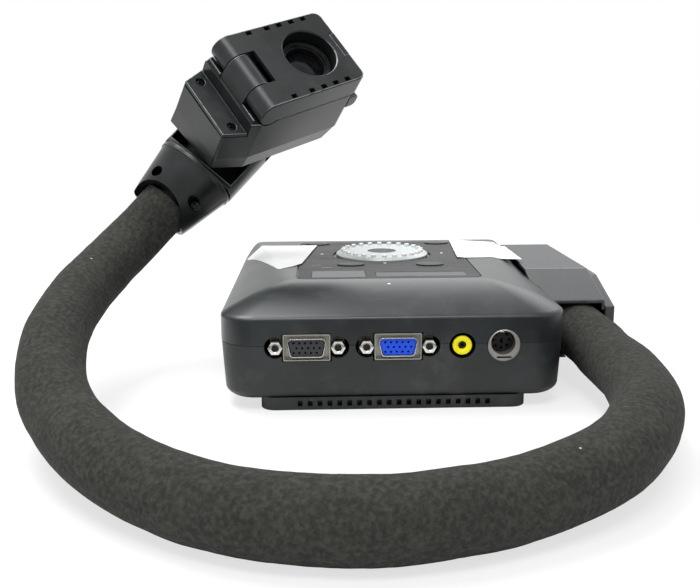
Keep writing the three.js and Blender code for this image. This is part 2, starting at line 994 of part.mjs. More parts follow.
function tube(from, to, radius, sides, stepLength, boreRadius = 0) {
  const shape = new THREE.Shape(circle(0, 0, radius, sides).map(([u, v]) => new THREE.Vector2(u, v)));
  if (boreRadius > 0) {
    const bore = circle(0, 0, boreRadius, boreSides).map(([u, v]) => new THREE.Vector2(u, v));
    shape.holes.push(new THREE.Path(bore.reverse()));
  }
  return new THREE.ExtrudeGeometry(shape, {
    steps: Math.max(1, Math.round((to - from) / stepLength)),
    bevelEnabled: false,
    extrudePath: new Stretch(neckRoute, from, to),
  });
}

function sleeve(index) {
  const from = index === 0 ? sleeveStart : bendCentres[index - 1] + neck.bendLength / 2;
  const to = index === bendCentres.length ? sleeveEnd : bendCentres[index] - neck.bendLength / 2;
  return tube(from, to, neck.radius, neckSides, neck.stepLength, neck.boreRadius);
}

function bendSleeve(index) {
  const half = neck.bendLength / 2 - gap;
  const middle = bendCentres[index];
  const { radius, bendStepLength, boreRadius } = neck;
  return tube(middle - half, middle + half, radius, neckSides, bendStepLength, boreRadius);
}

// The core ends in a ball at each bend, and the next core starts just past the ball
function core(index) {
  const ball = neck.coreRadius;
  const from = index === 0 ? 0 : bendCentres[index - 1] + ball + slip;
  const to = index === bendCentres.length ? neckLength : bendCentres[index];
  const rod = tube(from, to, neck.coreRadius, coreSides, neck.stepLength);
  if (index === bendCentres.length) {
    return rod;
  }
  const middle = neckRoute.getPointAt(to / neckLength);
  const cap = new THREE.SphereGeometry(ball, 8, 6).translate(middle.x, middle.y, middle.z);
  return join(rod, cap);
}

// Cover over the neck's root

function coverProfile(drop, inset, openFront) {
  const low = cover.lowZ + inset;
  const frontY = openFront ? cover.frontY - over : cover.frontY + inset;
  const slope = (cover.creaseZ - cover.frontZ) / (cover.creaseY - cover.frontY);
  const frontZ = cover.frontZ + slope * (frontY - cover.frontY) - drop - inset;
  return [
    [frontY, low],
    [coverBackY - inset, low],
    [coverBackY - inset, cover.backZ - drop - inset],
    [cover.creaseY, cover.creaseZ - drop - inset],
    [frontY, frontZ],
  ];
}

function sideOfBase() {
  return join(
    upperLoft(-gap, -gap, casing.partingZ - over),
    lowerLoft(-gap, casing.undersideZ - gap, casing.partingZ),
  );
}

function neckPassage() {
  return tube(sleeveStart - over, bendCentres[0], neck.radius + slip, neckSides, neck.bendStepLength);
}

function neckCover() {
  const { wall, capDrop } = cover;
  return cut(
    prism('x', coverProfile(0, 0, false), coverLeft, coverRight),
    prism('x', coverProfile(0, wall, true), coverLeft - over, coverRight - wall),
    prism('x', coverProfile(capDrop, wall, true), coverLeft - over, coverRight + over),
    sideOfBase(),
    neckPassage(),
  );
}

function coverCap() {
  const { wall, capDrop } = cover;
  const outer = prism('x', coverProfile(capDrop, 0, false), coverRight + gap, coverCapRight);
  const inner = prism(
    'x',
    coverProfile(capDrop, wall, false),
    coverRight - over,
    coverCapRight - wall,
  );
  return cut(outer, inner, neckPassage());
}

function clamp() {
  const { length, halfWidth, low, high } = clampBlock;
  const { x, y, z } = neckRoute.getPointAt(0);
  const block = box(casing.halfWidth + slip, x + halfWidth, y - length, y, z - low, z + high);
  return cut(block, tube(0, sleeveStart + over, neck.boreRadius, coreSides, neck.stepLength));
}

// Collar and yoke

function collarBody() {
  const { overSleeve, length, neckEndRadius, headEndRadius, ringRadius, ringLength } = collar;
  return turned(
    [
      [neck.radius + slip, -overSleeve],
      [neckEndRadius, -overSleeve],
      [headEndRadius, length - ringLength],
      [ringRadius, length - ringLength],
      [ringRadius, length],
      [yoke.stemRadius + gap, length],
      [yoke.stemRadius + gap, gap],
      [neck.radius + slip, gap],
    ],
    24,
  );
}

const collarScrewZ = collar.length * collarScrew.placeShare;

function collarHalf(side) {
  const reach = collar.ringRadius + over;
  const lowY = side < 0 ? -reach : gap / 2;
  const highY = side < 0 ? -gap / 2 : reach;
  const half = box(-reach, reach, lowY, highY, -reach, reach + collar.length);
  const holes = [-collarScrew.x, collarScrew.x].flatMap((x) => [
    prism(
      'y',
      circle(x, collarScrewZ, collarScrew.headRadius + gap, 12),
      -reach,
      collarScrew.headY + collarScrew.headHeight + gap,
    ),
    prism(
      'y',
      circle(x, collarScrewZ, collarScrew.shankRadius + gap, 10),
      -reach,
      collarScrew.shankY + gap,
    ),
  ]);
  return cut(common(collarBody(), half), ...holes);
}

function collarScrewSolid(x) {
  const { headRadius, headHeight, headY, shankRadius, shankY } = collarScrew;
  return join(
    prism('y', circle(x, collarScrewZ, headRadius, 12), headY, headY + headHeight),
    prism('y', circle(x, collarScrewZ, shankRadius, 10), headY, shankY),
  );
}

function yokeFrame() {
  const { stemRadius, outerX, armThickness, armHalfWidth, pivotZ, webThickness, webTopZ } = yoke;
  const footLow = collar.length + gap;
  const footHigh = footLow + yoke.footThickness;
  const arms = [-1, 1].map((side) => {
    const lowX = side < 0 ? -outerX : outerX - armThickness;
    const arm = box(lowX, lowX + armThickness, -armHalfWidth, armHalfWidth, footLow, pivotZ);
    const end = prism('x', circle(0, pivotZ, armHalfWidth), lowX, lowX + armThickness);
    return join(arm, end);
  });
  const foot = box(-outerX, outerX, -armHalfWidth, armHalfWidth, footLow, footHigh);
  const web = box(-outerX, outerX, armHalfWidth - webThickness, armHalfWidth, footLow, webTopZ);
  const stem = prism('z', circle(0, 0, stemRadius), slip, footHigh);
  const bore = prism('z', circle(0, 0, neck.boreRadius, 12), -over, collar.length);
  const pinHole = prism(
    'x',
    circle(0, pivotZ, tiltPin.radius + tiltPin.boreClearance, 16),
    -outerX - over,
    outerX + over,
  );
  return cut(join(foot, ...arms, web, stem), bore, pinHole);
}

function tiltPinSolid() {
  return prism('x', circle(0, yoke.pivotZ, tiltPin.radius, 16), -yoke.outerX, yoke.outerX);
}

// Tilting turret under the head, in a frame whose origin is the tilt pin and whose Z is the swivel axis
function turretSolid() {
  const half = yoke.outerX - yoke.armThickness - gap;
  const discTop = head.bottomZ - head.pivotZ - gap;
  const discLow = discTop - turret.discThickness;
  return cut(
    join(
      prism('x', circle(0, 0, turret.barrelRadius), -half, half),
      prism('z', circle(0, 0, turret.barrelRadius, 16), 0, discTop),
      prism('z', circle(0, 0, turret.discRadius), discLow, discTop),
      prism('z', circle(0, 0, turret.pinRadius, 16), discLow, turret.pinTopZ - head.pivotZ),
    ),
    prism(
      'x',
      circle(0, 0, tiltPin.radius + tiltPin.boreClearance, 16),
      -half - over,
      half + over,
    ),
  );
}

// Head: plan outline at one height, set in by an inset

function headRing(z, inset, tailInset) {
  const half = head.halfWidth - inset;
  const tailHalf = head.tailHalfWidth - inset;
  const tail = head.tailX + tailInset;
  return {
    z,
    outline: [
      [tail, -tailHalf],
      [head.sideX, -half],
      [head.noseX - inset, -half],
      [head.noseX - inset, half],
      [head.sideX, half],
      [tail, tailHalf],
    ],
  };
}

function headLoft(inset, lowZ, topZ) {
  return loft([
    headRing(lowZ, head.bottomInset + inset, head.bottomInset + inset),
    headRing(head.creaseZ, inset, inset + head.tailUndercut),
    headRing(head.tailCreaseZ, inset, inset),
    headRing(topZ, inset, inset),
  ]);
}

function cylinderY(x, z, radius, lowY, highY, sides) {
  return prism('y', circle(x, z, radius, sides), lowY, highY);
}

function headHousing() {
  const wide = head.halfWidth + over;
  const deckZ = head.seamZ - head.deckThickness;
  const coverLowZ = head.bandZ - hingeCover.thickness;
  const outer = headLoft(0, head.bottomZ, head.seamZ);
  const tailTop = box(head.tailX - over, head.stepX, -wide, wide, coverLowZ - gap, head.seamZ + over);
  const cavityTop = coverLowZ - gap - head.wall;
  const cavityBase = headLoft(head.wall, head.bottomZ + head.wall, deckZ);
  const tailRoof = box(
    head.tailX - over,
    head.stepX + head.wall,
    -wide,
    wide,
    cavityTop,
    head.seamZ + over,
  );
  const cavity = cut(cavityBase, tailRoof);
  const post = box(
    knuckle.x - knuckle.radius,
    knuckle.x + knuckle.radius,
    knuckle.right,
    knuckle.left,
    deckZ,
    knuckle.z,
  );
  const barrel = cylinderY(knuckle.x, knuckle.z, knuckle.radius, knuckle.right, knuckle.left, 24);
  const tongueSolid = box(
    tongue.near,
    tongue.far,
    -tongue.halfWidth,
    tongue.halfWidth,
    tongue.lowZ,
    tongue.topZ,
  );
  const lugSolid = prism(
    'y',
    rounded([
      [head.noseX - head.wall, lug.lowZ, gap],
      [lug.farX, lug.lowZ, lug.far - lug.near],
      [lug.farX, lug.topZ, lug.far - lug.near],
      [head.noseX - head.wall, lug.topZ, gap],
    ]),
    lug.near,
    lug.far,
  );
  const shelf = box(
    head.stepX,
    head.shelfX,
    -head.shelfHalfWidth,
    head.shelfHalfWidth,
    deckZ,
    head.shelfZ,
  );
  const troughRadius = knuckle.radius + slip;
  const troughs = [
    cylinderY(knuckle.x, knuckle.z, troughRadius, -wide, knuckle.right - knuckle.slotSide, 24),
    cylinderY(knuckle.x, knuckle.z, troughRadius, knuckle.left + knuckle.slotSide, wide, 24),
  ];
  return cut(
    join(cut(outer, tailTop, cavity), post, barrel, shelf, tongueSolid, lugSolid),
    ...troughs,
    prism('z', circle(0, 0, lens.radius + gap, 32), deckZ - over, head.seamZ + over),
    cylinderY(
      knuckle.x,
      knuckle.z,
      knuckle.pinRadius + knuckle.pinClearance,
      -wide,
      wide,
      16,
    ),
    prism(
      'z',
      circle(head.swivelX, head.swivelY, turret.pinRadius + turret.boreClearance, 16),
      head.bottomZ - over,
      head.bottomZ + head.wall + over,
    ),
    ...[-headScrew.y, headScrew.y].map((y) =>
      prism(
        'z',
        circle(headScrew.x, y, headScrew.shankRadius + gap, 10),
        headScrew.shankZ - gap,
        head.bandZ,
      ),
    ),
  );
}

// Plate over the tail, under the hinge, which narrows with the housing
function hingeCoverPlate() {
  const { thickness, frontX, backX } = hingeCover;
  const share = (frontX - head.tailX) / (head.sideX - head.tailX);
  const frontHalf = THREE.MathUtils.lerp(head.tailHalfWidth, head.halfWidth, share) - gap;
  const backHalf = head.tailHalfWidth - gap;
  const outline = [
    [backX, -backHalf],
    [frontX, -frontHalf],
    [frontX, frontHalf],
    [backX, backHalf],
  ];
  const holes = [-headScrew.y, headScrew.y].map((y) =>
    prism(
      'z',
      circle(headScrew.x, y, headScrew.headRadius + gap, 14),
      head.bandZ - thickness - over,
      head.bandZ + over,
    ),
  );
  return cut(prism('z', outline, head.bandZ - thickness, head.bandZ), ...holes);
}

function headScrewSolid(y) {
  const { x, headRadius, headZ, headHeight, shankRadius, shankZ } = headScrew;
  return join(
    prism('z', circle(x, y, headRadius, 14), headZ - headHeight, headZ),
    prism('z', circle(x, y, shankRadius, 10), shankZ, headZ - headHeight / 2),
  );
}

function lensBarrel() {
  return turned(
    [
      [lens.boreRadius, lens.lowZ],
      [lens.radius, lens.lowZ],
      [lens.radius, lens.topZ],
      [lens.rimRadius, lens.topZ],
      [lens.rimRadius, lens.ledgeZ],
      [lens.boreRadius, lens.ledgeZ],
    ],
    32,
  );
}

function lensGlass() {
  const radius = lens.rimRadius - gap;
  const edgeZ = lens.glassZ - lens.glassCrown;
  const low = lens.ledgeZ + gap;
  const points = [[0, low], [radius, low], [radius, edgeZ]];
  const crownSteps = 4;
  for (let i = 1; i <= crownSteps; i += 1) {
    const share = 1 - i / crownSteps;
    points.push([radius * share, lens.glassZ - lens.glassCrown * share * share]);
  }
  return new THREE.LatheGeometry(
    points.map(([u, z]) => new THREE.Vector2(u, z)),
    24,
  ).rotateX(Math.PI / 2);
}

function sensorPlate() {
  const { halfSize, thickness } = sensorBoard;
  const top = lens.lowZ - gap;
  return box(-halfSize, halfSize, -halfSize, halfSize, top - thickness, top);
}

function hingePin() {
  const half = lid.halfWidth - lid.wall / 2;
  return cylinderY(knuckle.x, knuckle.z, knuckle.pinRadius, -half, half, 12);
}

// Lid: one shell whose hinge end is round about the pin

function lidSideOutline() {
  const steps = 12;
  const start = Math.PI / 2;
  const end = 2 * Math.PI - Math.asin((knuckle.z - lid.seamZ) / knuckle.radius);
  const arc = Array.from({ length: steps + 1 }, (_, i) => {
    const angle = start + (i / steps) * (end - start);
    return [
      knuckle.x + knuckle.radius * Math.cos(angle),
      knuckle.z + knuckle.radius * Math.sin(angle),
    ];
  });
  return [
    ...arc,
    [lid.noseX, lid.seamZ],
    [lid.noseX, 0],
  ];
}

function lensLid() {
  const half = lid.halfWidth;
  const plan = rounded([
    [knuckle.x - knuckle.radius, -half, gap],
    [lid.noseX, -half, lid.cornerRadius],
    [lid.noseX, half, lid.cornerRadius],
    [knuckle.x - knuckle.radius, half, gap],
  ]);
  const body = common(
    prism('y', lidSideOutline(), -half, half),
    prism('z', plan, lid.seamZ - over, over),
  );
  const hollow = box(
    knuckle.slotX + lid.wall,
    lid.noseX - lid.wall,
    -half + lid.wall,
    half - lid.wall,
    lid.seamZ - over,
    -lid.wall,
  );
  const slot = box(
    knuckle.x - knuckle.radius - over,
    knuckle.slotX,
    knuckle.right - knuckle.slotSide,
    knuckle.left + knuckle.slotSide,
    lid.seamZ - over,
    over,
  );
  const vents = ventShares.flatMap((share) =>
    [-1, 1].map((side) => {
      const x = share * lid.noseX;
      const y = side * (half - lid.ventInset);
      const halfX = lid.ventWidth / 2;
      const halfY = lid.ventDepth / 2;
      return box(x - halfX, x + halfX, y - halfY, y + halfY, -lid.ventCut, over);
    }),
  );
  return cut(
    body,
    hollow,
    slot,
    prism('z', circle(0, 0, lid.lensHoleRadius, 32), lid.seamZ - over, over),
    box(
      lid.notchNear,
      lid.notchFar,
      -lid.notchHalfWidth,
      lid.notchHalfWidth,
      lid.seamZ - over,
      over,
    ),
    cylinderY(
      knuckle.x,
      knuckle.z,
      knuckle.pinRadius + knuckle.pinClearance,
      -half - over,
      half + over,
      16,
    ),
    ...vents,
  );
}

// Assembly

const model = new THREE.Group();

function place(parent, name, geometry, finish) {
  const [color, roughness, metalness] = finish;
  const material = new THREE.MeshStandardMaterial({ color, roughness, metalness });
  const mesh = new THREE.Mesh(geometry, material);
  mesh.name = name;
  parent.add(mesh);
}

function addBase() {
  place(model, 'upper_shell', upperShell(), finishes.shell);
  place(model, 'lower_shell', lowerShell(), finishes.shellLower);
  place(model, 'ballast_plate', ballastPlate(), finishes.steel);
  place(model, 'main_board', mainBoard(), finishes.board);
  place(model, 'key_board', keyBoardPlate(), finishes.board);
  padPlaces().forEach(({ x, y }, i) => {
    const solid = prism('z', circle(x, y, pad.radius), 0, pad.height);
    place(model, `foot_pad_${i + 1}`, solid, finishes.rubber);
  });
}

function addControls() {
  place(model, 'control_panel', controlPanel(), finishes.panel);
  const low = pocketZ + gap;
  const windowSolid = platePrism(windowPlate, windowSideShares, 0, low, low + windowPlate.thickness);
  place(model, 'window_plate', windowSolid, finishes.black);
  const nameSolid = platePrism(namePlate, nameSideShares, 0, low, low + namePlate.thickness);
  place(model, 'name_plate', nameSolid, finishes.plate);
  place(model, 'dial_ring', dialRing(), finishes.dial);
  place(model, 'dial_button', dialButton(), finishes.key);
  keyPlaces.forEach((at) => place(model, at.name, keyCap(at), finishes.key));
}

function addSockets() {
  displayPlaces.forEach(({ name, x }, i) => {
    const insertFinish = i === 0 ? finishes.grey : finishes.blue;
    place(model, `${name}_shell`, displayShell(x), finishes.steel);
    place(model, `${name}_insert`, displayInsert(x), insertFinish);
    [-1, 1].forEach((side, j) => {
      const solid = hexStandoff(x + (side * display.screwSpacing) / 2);
      place(model, `${name}_standoff_${j + 1}`, solid, finishes.steel);
    });
  });
  place(model, 'video_jack_barrel', videoBarrel(), finishes.steel);
  place(model, 'video_jack_ring', videoRing(), finishes.yellow);
  place(model, 'serial_jack_shell', serialShell(), finishes.steel);
  place(model, 'serial_jack_insert', serialInsert(), finishes.black);
}

function addNeck() {
  place(model, 'neck_cover', neckCover(), finishes.shell);
  place(model, 'neck_cover_cap', coverCap(), finishes.shell);
  place(model, 'neck_clamp', clamp(), finishes.black);
  for (let i = 0; i <= bendCentres.length; i += 1) {
    place(model, `neck_sleeve_${i + 1}`, sleeve(i), finishes.foam);
    place(model, `neck_core_${i + 1}`, core(i), finishes.steel);
  }
  bendCentres.forEach((_, i) => place(model, `neck_bend_${i + 1}`, bendSleeve(i), finishes.foam));
}

function yokeGroup() {
  const group = new THREE.Group();
  const end = sleeveEnd / neckLength;
  const along = neckRoute.getTangentAt(end);
  const level = new THREE.Vector3(-along.y, along.x, 0).normalize();
  const pinAxis = level.applyAxisAngle(along, THREE.MathUtils.degToRad(yokeTurn.roll));
  const third = new THREE.Vector3().crossVectors(along, pinAxis);
  group.matrix.makeBasis(pinAxis, third, along).setPosition(neckRoute.getPointAt(end));
  group.matrix.decompose(group.position, group.quaternion, group.scale);
  return group;
}

function addYoke() {
  const group = yokeGroup();
  model.add(group);
  const collarGroup = new THREE.Group();
  collarGroup.rotation.z = THREE.MathUtils.degToRad(collar.turn);
  group.add(collarGroup);
  place(collarGroup, 'collar_front', collarHalf(-1), finishes.headShell);
  place(collarGroup, 'collar_back', collarHalf(1), finishes.headShell);
  [-collarScrew.x, collarScrew.x].forEach((x, i) => {
    place(collarGroup, `collar_screw_${i + 1}`, collarScrewSolid(x), finishes.steel);
  });
  place(group, 'yoke', yokeFrame(), finishes.headShell);
  place(group, 'tilt_pin', tiltPinSolid(), finishes.steel);
  return group;
}

function addHead(yokeAt) {
  const tilting = new THREE.Group();
  tilting.position.z = yoke.pivotZ;
  tilting.rotation.x = THREE.MathUtils.degToRad(yokeTurn.tilt);
  yokeAt.add(tilting);
  place(tilting, 'turret', turretSolid(), finishes.headShell);
  const swivelling = new THREE.Group();
  swivelling.rotation.z = THREE.MathUtils.degToRad(yokeTurn.swivel);
  tilting.add(swivelling);
  const body = new THREE.Group();
  body.position.set(-head.swivelX, -head.swivelY, -head.pivotZ);
  swivelling.add(body);
  place(body, 'head_housing', headHousing(), finishes.headShell);
  place(body, 'hinge_cover', hingeCoverPlate(), finishes.headShell);
  [-headScrew.y, headScrew.y].forEach((y, i) => {
    place(body, `head_screw_${i + 1}`, headScrewSolid(y), finishes.steel);
  });
  place(body, 'hinge_pin', hingePin(), finishes.steel);
  place(body, 'lens_barrel', lensBarrel(), finishes.black);
  place(body, 'lens_glass', lensGlass(), finishes.glass);
  place(body, 'sensor_board', sensorPlate(), finishes.board);
  place(body, 'lens_lid', lensLid(), finishes.headShell);
}

addBase();
addControls();
addSockets();
addNeck();
addHead(addYoke());

export default model;
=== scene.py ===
"""Looks of a gooseneck document camera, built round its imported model.

Run in Blender as a script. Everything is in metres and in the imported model's own frame: +Z up, the
sockets face -Y, and the neck leaves the base on its +X side.
"""

import json
from array import array
from math import asin, cos, pi, radians, sin, sqrt, tan, tau

import bmesh
import bpy
from bpy.props import FloatProperty, FloatVectorProperty, IntProperty, PointerProperty
from bpy.types import Operator, Panel, PropertyGroup
from mathutils import Matrix, Vector, noise
from mathutils.bvhtree import BVHTree


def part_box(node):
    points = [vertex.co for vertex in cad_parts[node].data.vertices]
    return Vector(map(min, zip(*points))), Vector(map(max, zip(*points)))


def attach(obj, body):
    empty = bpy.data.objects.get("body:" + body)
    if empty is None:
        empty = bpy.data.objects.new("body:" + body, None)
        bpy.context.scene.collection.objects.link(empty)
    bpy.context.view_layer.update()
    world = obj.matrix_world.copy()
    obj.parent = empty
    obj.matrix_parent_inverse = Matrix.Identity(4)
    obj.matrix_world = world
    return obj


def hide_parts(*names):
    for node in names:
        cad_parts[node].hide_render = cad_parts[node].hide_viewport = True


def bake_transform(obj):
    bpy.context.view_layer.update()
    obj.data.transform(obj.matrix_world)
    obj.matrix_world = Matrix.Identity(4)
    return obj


bl_info = {"name": "Document Camera", "version": (1, 0, 0), "blender": (4, 5, 0),
    "location": "View3D > Sidebar > Document Camera",
    "description": "Dresses a gooseneck document camera in its plastics, foam, sockets and labels",
    "category": "Add Mesh"}

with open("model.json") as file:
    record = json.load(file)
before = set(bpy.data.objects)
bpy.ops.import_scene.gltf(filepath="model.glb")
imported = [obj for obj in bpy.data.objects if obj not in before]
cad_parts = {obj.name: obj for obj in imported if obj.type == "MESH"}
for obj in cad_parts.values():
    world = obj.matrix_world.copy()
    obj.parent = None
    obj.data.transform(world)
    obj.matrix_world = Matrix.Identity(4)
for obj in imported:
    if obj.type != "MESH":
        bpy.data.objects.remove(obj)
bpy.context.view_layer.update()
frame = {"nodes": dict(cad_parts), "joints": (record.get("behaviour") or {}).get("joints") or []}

# One millimetre, in metres
MM = 0.001


# Kinds of settings


def size(label, millimetres, words):
    return FloatProperty(name=label, description=words, default=millimetres * MM, unit="LENGTH",
        subtype="DISTANCE", precision=5)


def fixed(*millimetres):
    """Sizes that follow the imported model, in the single precision that a setting has."""
    return array("f", [number * MM for number in millimetres])


def share(label, value, words):
    return FloatProperty(name=label, description=words, default=value, precision=4)


def turn(label, degrees, words):
    return FloatProperty(name=label, description=words, default=radians(degrees), unit="ROTATION",
        subtype="ANGLE")


def count(label, number, words):
    return IntProperty(name=label, description=words, default=number, min=1)


def linear(channel):
    """One channel of a screen colour, from 0 to 255, as light."""
    part = channel / 255
    # The standard curve of screen colours, with its straight part near black
    return part / 12.92 if part <= 0.04045 else ((part + 0.055) / 1.055) ** 2.4


def colour(label, red, green, blue, words):
    return FloatVectorProperty(name=label, description=words,
        default=(linear(red), linear(green), linear(blue), 1), size=4, min=0, max=1, subtype="COLOR")


class CasingSizes(PropertyGroup):
    half_width: size("Half width", 70, "From the middle to the base's side")
    half_depth: size("Half depth", 67.5, "From the middle to the base's front face")
    wall: size("Wall", 2.5, "Thickness of the casing's walls")
    parting_z: size("Parting", 27.8, "Height of the line where the two shells meet")
    rim_z: size("Rim", 38.8, "Height where the walls turn into the slope")
    top_z: size("Top", 48.8, "Height of the flat top")
    front_slope: size("Front slope", 29, "Depth of the slope behind the front face")
    front_radius: size("Front radius", 14, "Radius of the front corners")
    front_share: share("Front share", 0.5643, "Width of the top's front, to the base's width")
    back_share: share("Back share", 0.9, "Width of the top's back, to the base's width")
    crown_power: share("Crown power", 1.6, "How round the slope is")
    crown_steps: count("Crown steps", 18, "Rings from the rim to the flat top")
    back_radius, edge, underside_z, round_height, round_width, draft = fixed(8, 0.18, 4.2, 4.6, 7.5, 1.1)
    parting_gap, skirt_step, rim_radius, back_slope, top_radius = fixed(0.14, 0.12, 0.9, 2, 3)


class PlinthSizes(PropertyGroup):
    slot_pitch: size("Slot pitch", 4, "From one air slot to the next")
    slot_width: size("Slot width", 2, "Width of an air slot")
    slots: count("Slots", 20, "How many air slots")
    side_inset, front_inset, back_inset, radius, slot_low, slot_high = fixed(16, 2.5, 7.5, 6, 1.6, 4)
    slot_depth, screw_radius, screw_inset = fixed(3.2, 3.6, 20)


class PanelSizes(PropertyGroup):
    radius: size("Radius", 4, "Radius of the panel's corners")
    key_half_width: size("Key half width", 6, "Half the width of an oval key")
    key_half_depth: size("Key half depth", 4, "Half the depth of an oval key")
    lamp_radius: size("Lamp radius", 0.75, "Radius of an indicator lamp")
    groove, edge, key_crown, key_gap, plate_radius = fixed(0.55, 0.25, 0.3, 0.45, 0.8)
    mark_width, mark_height = fixed(0.55, 0.03)


class DialSizes(PropertyGroup):
    radius: size("Radius", 22.25, "Radius of the dial")
    stud_radius: size("Stud radius", 1.2, "Radius of a stud")
    studs: count("Studs", 24, "How many studs")
    button_radius: size("Button radius", 6.3, "Radius of the middle button")
    face_radius, stud_circle, rim_drop, stud_height, stud_stand = fixed(20.3, 18.9, 1, 0.6, 1.1)
    mouth_radius, button_sink, groove_radius, well_gap = fixed(6.9, 1, 14.2, 1.5)


class DisplaySizes(PropertyGroup):
    width: size("Width", 16.3, "Width of a display socket's shell")
    height: size("Height", 7.9, "Height of a display socket's shell")
    slant_share: share("Slant", 0.09, "Slant of its sides, to its width")
    standoff_width, frame_width, frame_height, screw_spacing = fixed(5, 30.8, 12.4, 24.99)
    pin_radius, corner_radius, skin, frame_thickness, bezel_width = fixed(0.48, 1.8, 0.6, 0.8, 18.8)
    bezel_height, bezel_wall, bezel_stand, flare, cut_width = fixed(10.9, 0.5, 2.2, 1.1, 20)
    cut_height, ear_radius, pin_pitch, row_pitch, standoff_bore = fixed(11.6, 4.4, 2.29, 1.98, 1.45)


class JackSizes(PropertyGroup):
    ring_radius: size("Ring radius", 3.9, "Outer radius of the coloured ring")
    serial_radius: size("Serial radius", 6.5, "Outer radius of the round socket")
    serial_pins: count("Serial pins", 7, "How many pins the round socket has")
    ring_bore, video_hole, ring_depth, serial_rise, serial_shift = fixed(1.65, 5.3, 1.8, 1.25, 0.5)
    serial_wall, serial_slot, serial_pin, serial_circle = fixed(1.6, 2.1, 0.6, 3.2)


class CoverSizes(PropertyGroup):
    reach: size("Reach", 25.5, "From the base's side to the cap's joint")
    front_z: size("Front height", 36, "Height of the front edge")
    wall: size("Wall", 1.3, "Thickness of the cover's walls")
    back_z, cap_reach, crease_z, edge, overlap, front_y, crease_y = fixed(46.5, 30, 45, 0.6, 4, -29, 0)
    back_inset, low_z, cap_drop, taper = fixed(5.5, 10, 2.9, 4)


class NeckSizes(PropertyGroup):
    radius: size("Radius", 12.3, "Radius of the foam sleeve")
    reach: size("Reach", 220, "The neck's places are shares of this")
    bend_length: size("Bend length", 45, "Length of each bending stretch")
    swell: size("Swell", 0.38, "Height of the foam's slow unevenness")
    sides: count("Sides", 72, "Faces round the foam")
    swell_size, bore, root_stand, root_y, into_clamp, into_yoke = fixed(17, 6.4, 14.3, -8, 19, 21)
    step, pock, pock_size = fixed(2, 0.1, 3.2)


class CollarSizes(PropertyGroup):
    length: size("Length", 20.8, "Length of the collar past the foam")
    neck_radius: size("Neck radius", 15.1, "Radius at the neck's end")
    head_radius: size("Head radius", 19.6, "Radius at the head's end")
    turned: turn("Turned", -6.25, "Turn of the collar about the neck")
    screw_share: share("Screw share", 0.26, "Place of the screws along the collar")
    screw_radius, ring_radius, over_sleeve, ring_length, bore_gap = fixed(2.4, 20.2, 6.8, 2.6, 0.6)
    stem_radius, half_gap, screw_x, screw_shift, screw_y = fixed(9, 0.3, 11, 2.4, -9.4)
    arch_half, arch_rise = fixed(14.4, 9)


class YokeSizes(PropertyGroup):
    outer_x: size("Outer reach", 22, "From the middle to an arm's outer face")
    arm: size("Arm", 4, "Thickness of an arm")
    tilt: turn("Tilt", 68.7, "Angle between the neck's end and the swivel")
    arm_half, pin_radius, disc, foot, pivot_z, web, web_top = fixed(8.5, 2.5, 13, 3, 49.3, 3.2, 43)
    pin_gap, pin_half, barrel, disc_thickness, spindle, spindle_top = fixed(0.35, 18.9, 8, 3, 4, -38.4)
    gap, edge = fixed(0.3, 0.7)


class HeadSizes(PropertyGroup):
    nose_x: size("Nose", 17, "Place of the nose")
    tail_x: size("Tail", -52.2, "Place of the tail")
    half_width: size("Half width", 20.4, "Half the width of the head")
    bottom_z: size("Bottom", -43.6, "Height of the underside")
    wall: size("Wall", 2.2, "Thickness of the head's walls")
    tail_half, nose_radius, edge, step_x, side_x, seam_z = fixed(15.7, 3.4, 0.6, -41, -36.8, -11.6)
    deck, shelf_z, shelf_x, shelf_half, band_z, crease_z = fixed(3.2, -9.9, -39.3, 18.1, -17.2, -34.7)
    tail_lean, bottom_inset, near_inset, tail_skew, side_radius = fixed(2.2, 3.4, 1.2, 1.6, 1.4)
    lug_far, lug_low, lug_near, lug_back, lug_round, swivel_x = fixed(20.8, -21, -20.4, -16.4, 2.8, -21.2)
    swivel_y, pivot_z, plate, plate_front, plate_back, screw_x = fixed(5, -52.85, 1.8, -41.4, -52.2, -46)
    screw_y, screw_radius, gap = fixed(13, 1.9, 0.3)


class LidSizes(PropertyGroup):
    hinge_radius: size("Hinge radius", 6.4, "Radius of the knuckles")
    half_width: size("Half width", 20.5, "Half the width of the lid")
    wall: size("Wall", 2, "Thickness of the lid's walls")
    lens_hole: size("Lens hole", 12.8, "Radius of the opening over the lens")
    corner_radius, edge, vent_length, vent_width, hinge_x, hinge_z = fixed(4, 0.65, 2.9, 2.1, -32, -6.4)
    knuckle_right, knuckle_left, slot_x, slot_side, pin_bore = fixed(-8, 8.7, -25, 0.5, 1.85)
    nose_x, seam_z, hole_edge, notch_near, notch_half = fixed(18.9, -11.3, 0.5, 15.6, 7)
    vent_inset, vent_depth = fixed(2, 3)


class LensSizes(PropertyGroup):
    radius: size("Radius", 12, "Outer radius of the lens barrel")
    glass_crown: size("Crown", 1.6, "How far the glass bulges")
    top_z, rim_radius, bore_radius, ledge_z, low_z, glass_z = fixed(-6, 9.5, 7.5, -12.4, -35.5, -8.7)


class LabelSizes(PropertyGroup):
    thickness: size("Thickness", 0.12, "Thickness of the paper")
    curl: size("Curl", 0.35, "How far the paper lifts along its loose edge")
    steps: count("Steps", 40, "Faces along each side of the paper")
    (lift,) = fixed(0.06)


